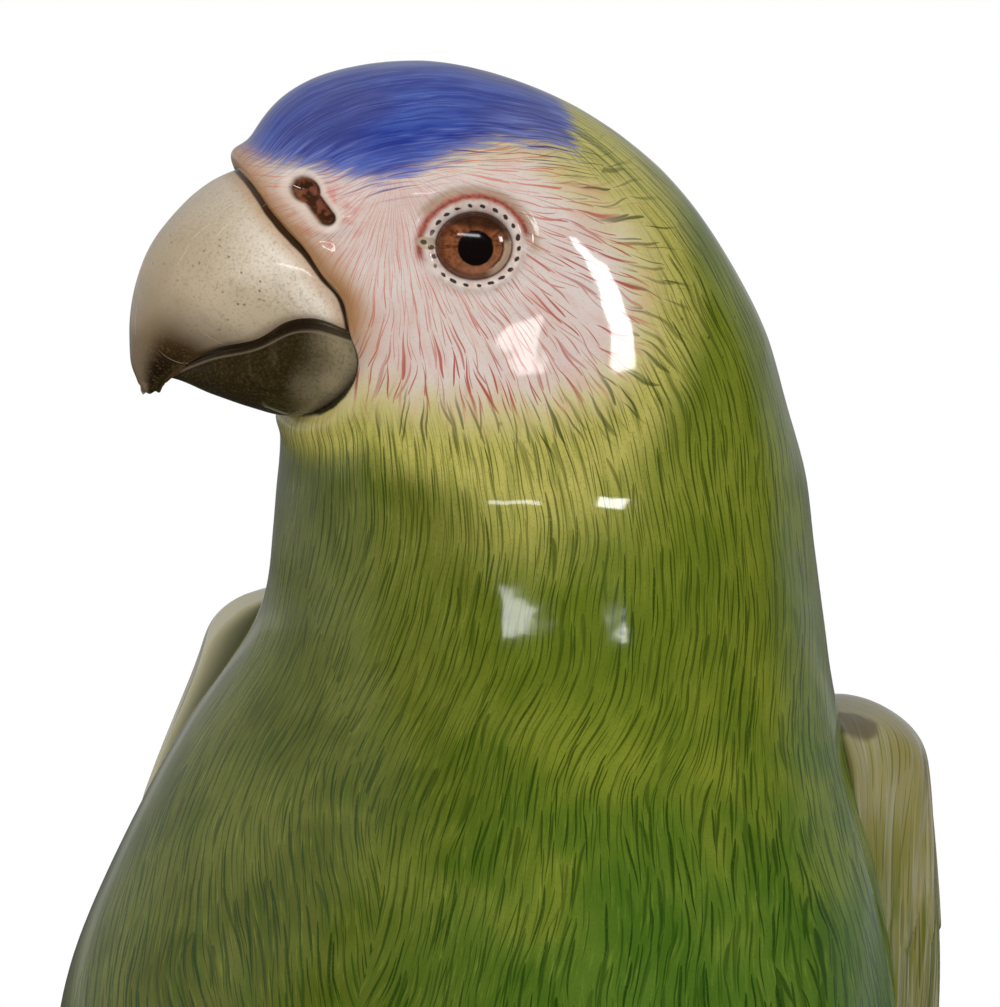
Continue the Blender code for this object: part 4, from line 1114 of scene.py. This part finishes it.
def lower_beak_paint():
    """Dark olive brown, nearly black along the lip and paler at its root, partly as painted sheen."""
    material, p, shader = glaze("lower_beak_glaze", 0.09)
    place = p.place()
    under_lip = p.value("lip_drop")
    wave = p.add(p.value("along"), p.times(p.less(p.noise(place, 150.0), 0.5), 0.3))
    # Paler towards the root: partly its own colour, partly a painted sheen.
    colour = p.mix(p.rise(wave, 0.28, 0.56), tint(160, 146, 114), tint(50, 40, 18))
    growth = p.streaks(p.flow("beak_flow"), 0.6, 5.0, 2.0)
    colour = p.mix(p.rise(growth, 0.5, 0.75, 0.0, 0.25), colour, tint(96, 82, 56))
    sand = p.noise(place, 3200.0, 1.0)
    colour = p.mix(p.rise(sand, 0.50, 0.72, 0.0, 0.3), colour, tint(24, 18, 8))
    colour = p.mix(p.rise(sand, 0.50, 0.28, 0.0, 0.08), colour, tint(150, 138, 112))
    colour = p.mix(p.times(p.rise(under_lip, 0.60, 0.30), 0.85), colour, tint(34, 24, 14))
    # Painted highlight: a pale line just under the dark lip.
    colour = p.mix(p.times(p.bell(under_lip, 0.78, 0.13), 0.45), colour, tint(158, 144, 122))
    finish_glaze(p, shader, colour)
    return material


def painted_wing():
    """Olive and grey-green feathers, dark shafts, a pale shoulder, painted shade beside the neck and at each step."""
    material, p, shader = glaze("painted_wing")
    place = p.place()
    tip, long_share, down, outside = (p.value(name) for name in ("feather_tip", "long_share", "down", "outside"))
    flow = p.flow("wing_flow")
    cloud = p.noise(place, 60.0)
    shoulder = p.rise(down, 0.30, 0.06)
    colour = p.mix(p.rise(cloud, 0.38, 0.64), tint(108, 116, 52), tint(136, 134, 74))
    colour = p.mix(p.rise(tip, 0.75, 0.1, 0.0, 0.6), colour, tint(76, 92, 30))
    colour = p.mix(p.times(p.rise(tip, 0.35, 0.05), long_share, 0.8), colour, tint(56, 84, 92))
    rims = p.times(p.bell(tip, 0.93, 0.06), outside, p.add(0.25, p.times(long_share, 0.45)))
    colour = p.mix(rims, colour, tint(178, 174, 136))
    yellow = p.mix(p.rise(p.noise(place, 110.0), 0.36, 0.62), tint(150, 138, 72), tint(160, 150, 100))
    colour = p.mix(p.times(shoulder, 0.85), colour, yellow)
    colour = p.mix(p.rise(p.streaks(flow, 0.5, 7.0, 1.0), 0.48, 0.70, 0.0, 0.6), colour, tint(154, 150, 122))
    green = p.rise(p.streaks(flow, 2.2, 20.0, 5.0), 0.50, 0.60)
    green = p.times(green, p.rise(down, 0.05, 0.16), p.less(1.0, long_share))
    colour = p.mix(p.times(green, 0.7), colour, tint(88, 102, 26))
    grey = p.times(p.rise(p.streaks(flow, 1.1, 24.0, 7.0), 0.54, 0.64), p.less(1.0, p.times(long_share, 0.7)))
    colour = p.mix(p.times(grey, 0.6), colour, tint(170, 170, 142))
    shafts = p.ink(flow, (1.0, 1.2, 6.0, 0.30, 0.85), (2.0, 1.7, 9.0, 0.40, 0.75))
    colour = p.mix(p.times(shafts, p.add(0.8, p.times(shoulder, -0.25))), colour, tint(66, 68, 24))
    # Painted shade at the foot of each feather's step, below the edge of the feather above.
    colour = p.mix(p.times(p.rise(tip, 0.12, 0.0), outside, p.less(1.0, shoulder), 0.35), colour, tint(44, 54, 22))
    # The front edge blends into the breast's green, lightened as a painted reflection like the pale veil on the breast
    # beside it.
    colour = p.mix(p.times(p.rise(flow[0], 11.0, 3.0), p.rise(down, 0.04, 0.12), 0.5), colour, tint(110, 118, 62))
    # Painted light: the right wing's top made pale, to lift the shade it lies in beside the neck.
    on_right = p.rise(p.parts(place)[0], 0.0, -0.01)
    colour = p.mix(p.times(on_right, p.rise(down, 0.45, 0.10), 0.85), colour, tint(200, 194, 162))
    # Painted shade: a dark brown patch for the shadow in the hollow between neck and shoulder, which the form lacks.
    from_gap = p.node("ShaderNodeVectorMath", (place, (0.0365, 0.0105, 0.2335)), out=1, operation="DISTANCE")
    hollow = p.rise(p.add(from_gap, p.times(p.less(p.noise(place, 260.0), 0.5), 0.003)), 0.0042, 0.0026)
    colour = p.mix(p.times(hollow, p.rise(cloud, 0.3, 0.5, 0.6, 0.95)), colour, tint(66, 48, 30))
    finish_glaze(p, shader, colour)
    return material


def painted_stump():
    """Brown and moss-green washes over the bark and the ground, and bare biscuit where the foot stands."""
    material, p, shader = glaze("painted_stump", 0.1)
    place = p.place()
    z = p.height()
    flow = p.flow("stump_flow")
    cloud = p.noise(place, 45.0, 3.0)
    colour = p.mix(p.rise(p.streaks(flow, 2.5, 16.0, 1.0), 0.35, 0.65), tint(150, 122, 84), tint(116, 88, 56))
    colour = p.mix(p.rise(p.value("bark"), 0.5, 0.08, 0.0, 0.8), colour, tint(66, 46, 30))
    colour = p.mix(p.rise(cloud, 0.52, 0.66, 0.0, 0.7), colour, tint(96, 112, 48))
    ink = p.ink(flow, (1.0, 1.5, 9.0, 0.35, 0.8), (2.0, 2.2, 13.0, 0.5, 0.6))
    colour = p.mix(p.times(ink, 0.6), colour, tint(56, 38, 24))
    ground = p.mix(p.rise(cloud, 0.40, 0.62), tint(120, 126, 62), tint(168, 152, 104))
    colour = p.mix(p.rise(p.add(z, p.times(p.less(cloud, 0.5), 14.0)), 16.0, 9.0), colour, ground)
    colour = p.mix(p.rise(z, 6.2, 5.2), colour, tint(222, 214, 196))
    bare = p.rise(p.value("glazed"), 0.6, 0.4)
    colour = p.mix(bare, colour, p.mix(p.noise(place, 300.0), tint(214, 206, 192), tint(196, 184, 166)))
    p.feed(shader.inputs["Roughness"], p.rise(bare, 0.0, 1.0, 0.10, 0.75))
    finish_glaze(p, shader, colour)
    return material


def painted_toes():
    """Grey-brown scaled skin, with darker lines between the scales and dark claws."""
    material, p, shader = glaze("painted_toes")
    colour = p.mix(p.rise(p.noise(p.place(), 140.0), 0.4, 0.62), tint(150, 134, 112), tint(124, 104, 82))
    colour = p.mix(p.rise(p.value("scale"), 0.10, 0.0, 0.0, 0.6), colour, tint(84, 66, 48))
    colour = p.mix(p.rise(p.value("claw"), 0.3, 0.8), colour, tint(52, 42, 32))
    finish_glaze(p, shader, colour)
    return material


def round_the_bird(azimuth, elevation, distance):
    """A place this far from the middle of the bird, in degrees round from its front and up."""
    a, e = math.radians(azimuth), math.radians(elevation)
    return (distance * math.sin(a) * math.cos(e), -distance * math.cos(a) * math.cos(e), 0.28 + distance * math.sin(e))


def set_up(name, data, place, aim):
    """Puts a lamp or a camera in the scene, with its -Z axis towards the aim."""
    holder = bpy.data.objects.new(name, data)
    holder.location = place
    holder.rotation_euler = (Vector(aim) - Vector(place)).to_track_quat("-Z", "Y").to_euler()
    bpy.context.scene.collection.objects.link(holder)
    return holder


def lamp(name, place, aim, width, height, power):
    """A soft rectangular lamp that faces its aim."""
    light = bpy.data.lights.new(name, "AREA")
    light.shape = "RECTANGLE"
    light.size, light.size_y = width, height
    light.energy = power
    return set_up(name, light, place, aim)


AZIMUTH = math.radians(20.0)
ELEVATION = math.radians(12.0)
DISTANCE = 1.0
PIXEL = 0.115 * MM
WHITE = (1, 1, 1, 1)
PALE_GREY = (0.8, 0.8, 0.8, 1)


def camera():
    """The photograph's camera: 1 m away, 12 degrees up, 20 degrees round, one pixel 0.115 mm wide at the bird."""
    right = Vector((math.cos(AZIMUTH), math.sin(AZIMUTH), 0))
    level = math.cos(ELEVATION)
    back = Vector((math.sin(AZIMUTH) * level, -math.cos(AZIMUTH) * level, math.sin(ELEVATION)))
    up = back.cross(right)
    middle = Vector((0, 0, 0.255)) - 20 * PIXEL * right + 29.3 * PIXEL * up
    view = bpy.data.cameras.new("camera")
    view.sensor_fit = "HORIZONTAL"
    view.sensor_width = 36.0
    view.lens = 36.0 * DISTANCE / (1000 * PIXEL)
    view.clip_start, view.clip_end = 0.05, 50
    bpy.context.scene.camera = set_up("camera", view, middle + back * DISTANCE, middle)


def mirrored_room(p, toward):
    """How bright a reflection finds the room: dark in front, pale from the left round to behind, where the paper is."""
    turned = p.node("ShaderNodeVectorMath", (toward, (-0.70, 0.71, 0.0)), out=1, operation="DOT_PRODUCT")
    return p.rise(turned, -0.20, 0.20, 0.02, 0.46)


def surroundings():
    """A pale studio: even dim light from all round, white to the lens, and the mirrored room to reflections."""
    world = bpy.data.worlds.new("studio")
    bpy.context.scene.world = world
    world.use_nodes = True
    p = Palette(world.node_tree)
    dim = p.node("ShaderNodeBackground", (WHITE, 0.50))
    white = p.node("ShaderNodeBackground", (WHITE, 1.0))
    room = p.node("ShaderNodeBackground", (PALE_GREY, mirrored_room(p, p.node("ShaderNodeTexCoord"))))
    ray = p.node("ShaderNodeLightPath").node.outputs
    lit = p.node("ShaderNodeMixShader", (ray["Is Glossy Ray"], dim, room))
    seen = p.node("ShaderNodeMixShader", (ray["Is Camera Ray"], lit, white))
    p.feed(world.node_tree.nodes["World Output"].inputs["Surface"], seen)


def floor_paint():
    """White paper. To the lens it is white on its own, less so near the bird, where it keeps the shadow.

    To reflections it is dark near the bird, and far off as bright as the room is there.
    """
    material, p, shader = glaze("white_paper", 0.9)
    shader.inputs["Specular IOR Level"].default_value = 0.0
    shader.inputs["Base Color"].default_value = PALE_GREY
    place = p.place()
    away = p.node("ShaderNodeVectorMath", (place,), out=1, operation="LENGTH")
    ray = p.node("ShaderNodeLightPath").node.outputs
    glow = p.node("ShaderNodeEmission", (WHITE, 1.0))
    own_white = p.times(p.rise(away, 0.10, 0.75, 0.35, 1.0), ray["Is Camera Ray"])
    paper = p.node("ShaderNodeMixShader", (own_white, shader.outputs[0], glow))
    compass = p.node("ShaderNodeVectorMath", (place,), operation="NORMALIZE")
    mirrored = p.times(p.rise(away, 0.2, 3.0, 0.04, 1.0), mirrored_room(p, compass))
    unlit = p.node("ShaderNodeEmission", (WHITE, mirrored))
    either = p.node("ShaderNodeMixShader", (ray["Is Glossy Ray"], paper, unlit))
    p.feed(material.node_tree.nodes["Material Output"].inputs["Surface"], either)
    return material


def floor():
    ring = np.linspace(0, 2 * math.pi, 64, endpoint=False)
    points = [(8 * math.cos(a), 8 * math.sin(a), 0.0) for a in ring]
    mesh = bpy.data.meshes.new("floor")
    mesh.from_pydata(points, [], [list(range(64))])
    mesh.materials.append(floor_paint())
    sheet = bpy.data.objects.new("floor", mesh)
    bpy.context.scene.collection.objects.link(sheet)


def figurine():
    bird_skin(painted_feathers("painted_head", True), painted_feathers("painted_breast", False))
    upper_beak(upper_beak_paint())
    lower_beak(lower_beak_paint())
    wing_paint = painted_wing()
    wing("left_wing", 1, 0.0, wing_paint)
    wing("right_wing", -1, RIGHT_WING_LIFT, wing_paint)
    stump(painted_stump())
    feet = painted_toes()
    for side, sign in (("left", 1), ("right", -1)):
        for number, angle in enumerate(TOE_ANGLES):
            toe(f"{side}_toe_{number}", sign * angle, feet)


figurine()
floor()
surroundings()
camera()
lamp("front", round_the_bird(24, 13, 1.3), (0, 0, 0.28), 0.46, 0.06, 0.9)
lamp("side", round_the_bird(58, 12, 1.3), (0, 0, 0.28), 0.18, 0.16, 1.8)
lamp("above", round_the_bird(-10, 48, 1.2), (0, 0, 0.24), 0.6, 0.6, 5.5).visible_glossy = False
lamp("back", round_the_bird(190, 40, 1.4), (0, 0, 0.20), 0.6, 0.6, 2.0).visible_glossy = False

bpy.context.scene.view_settings.view_transform = "Standard"
bpy.context.view_layer.update()
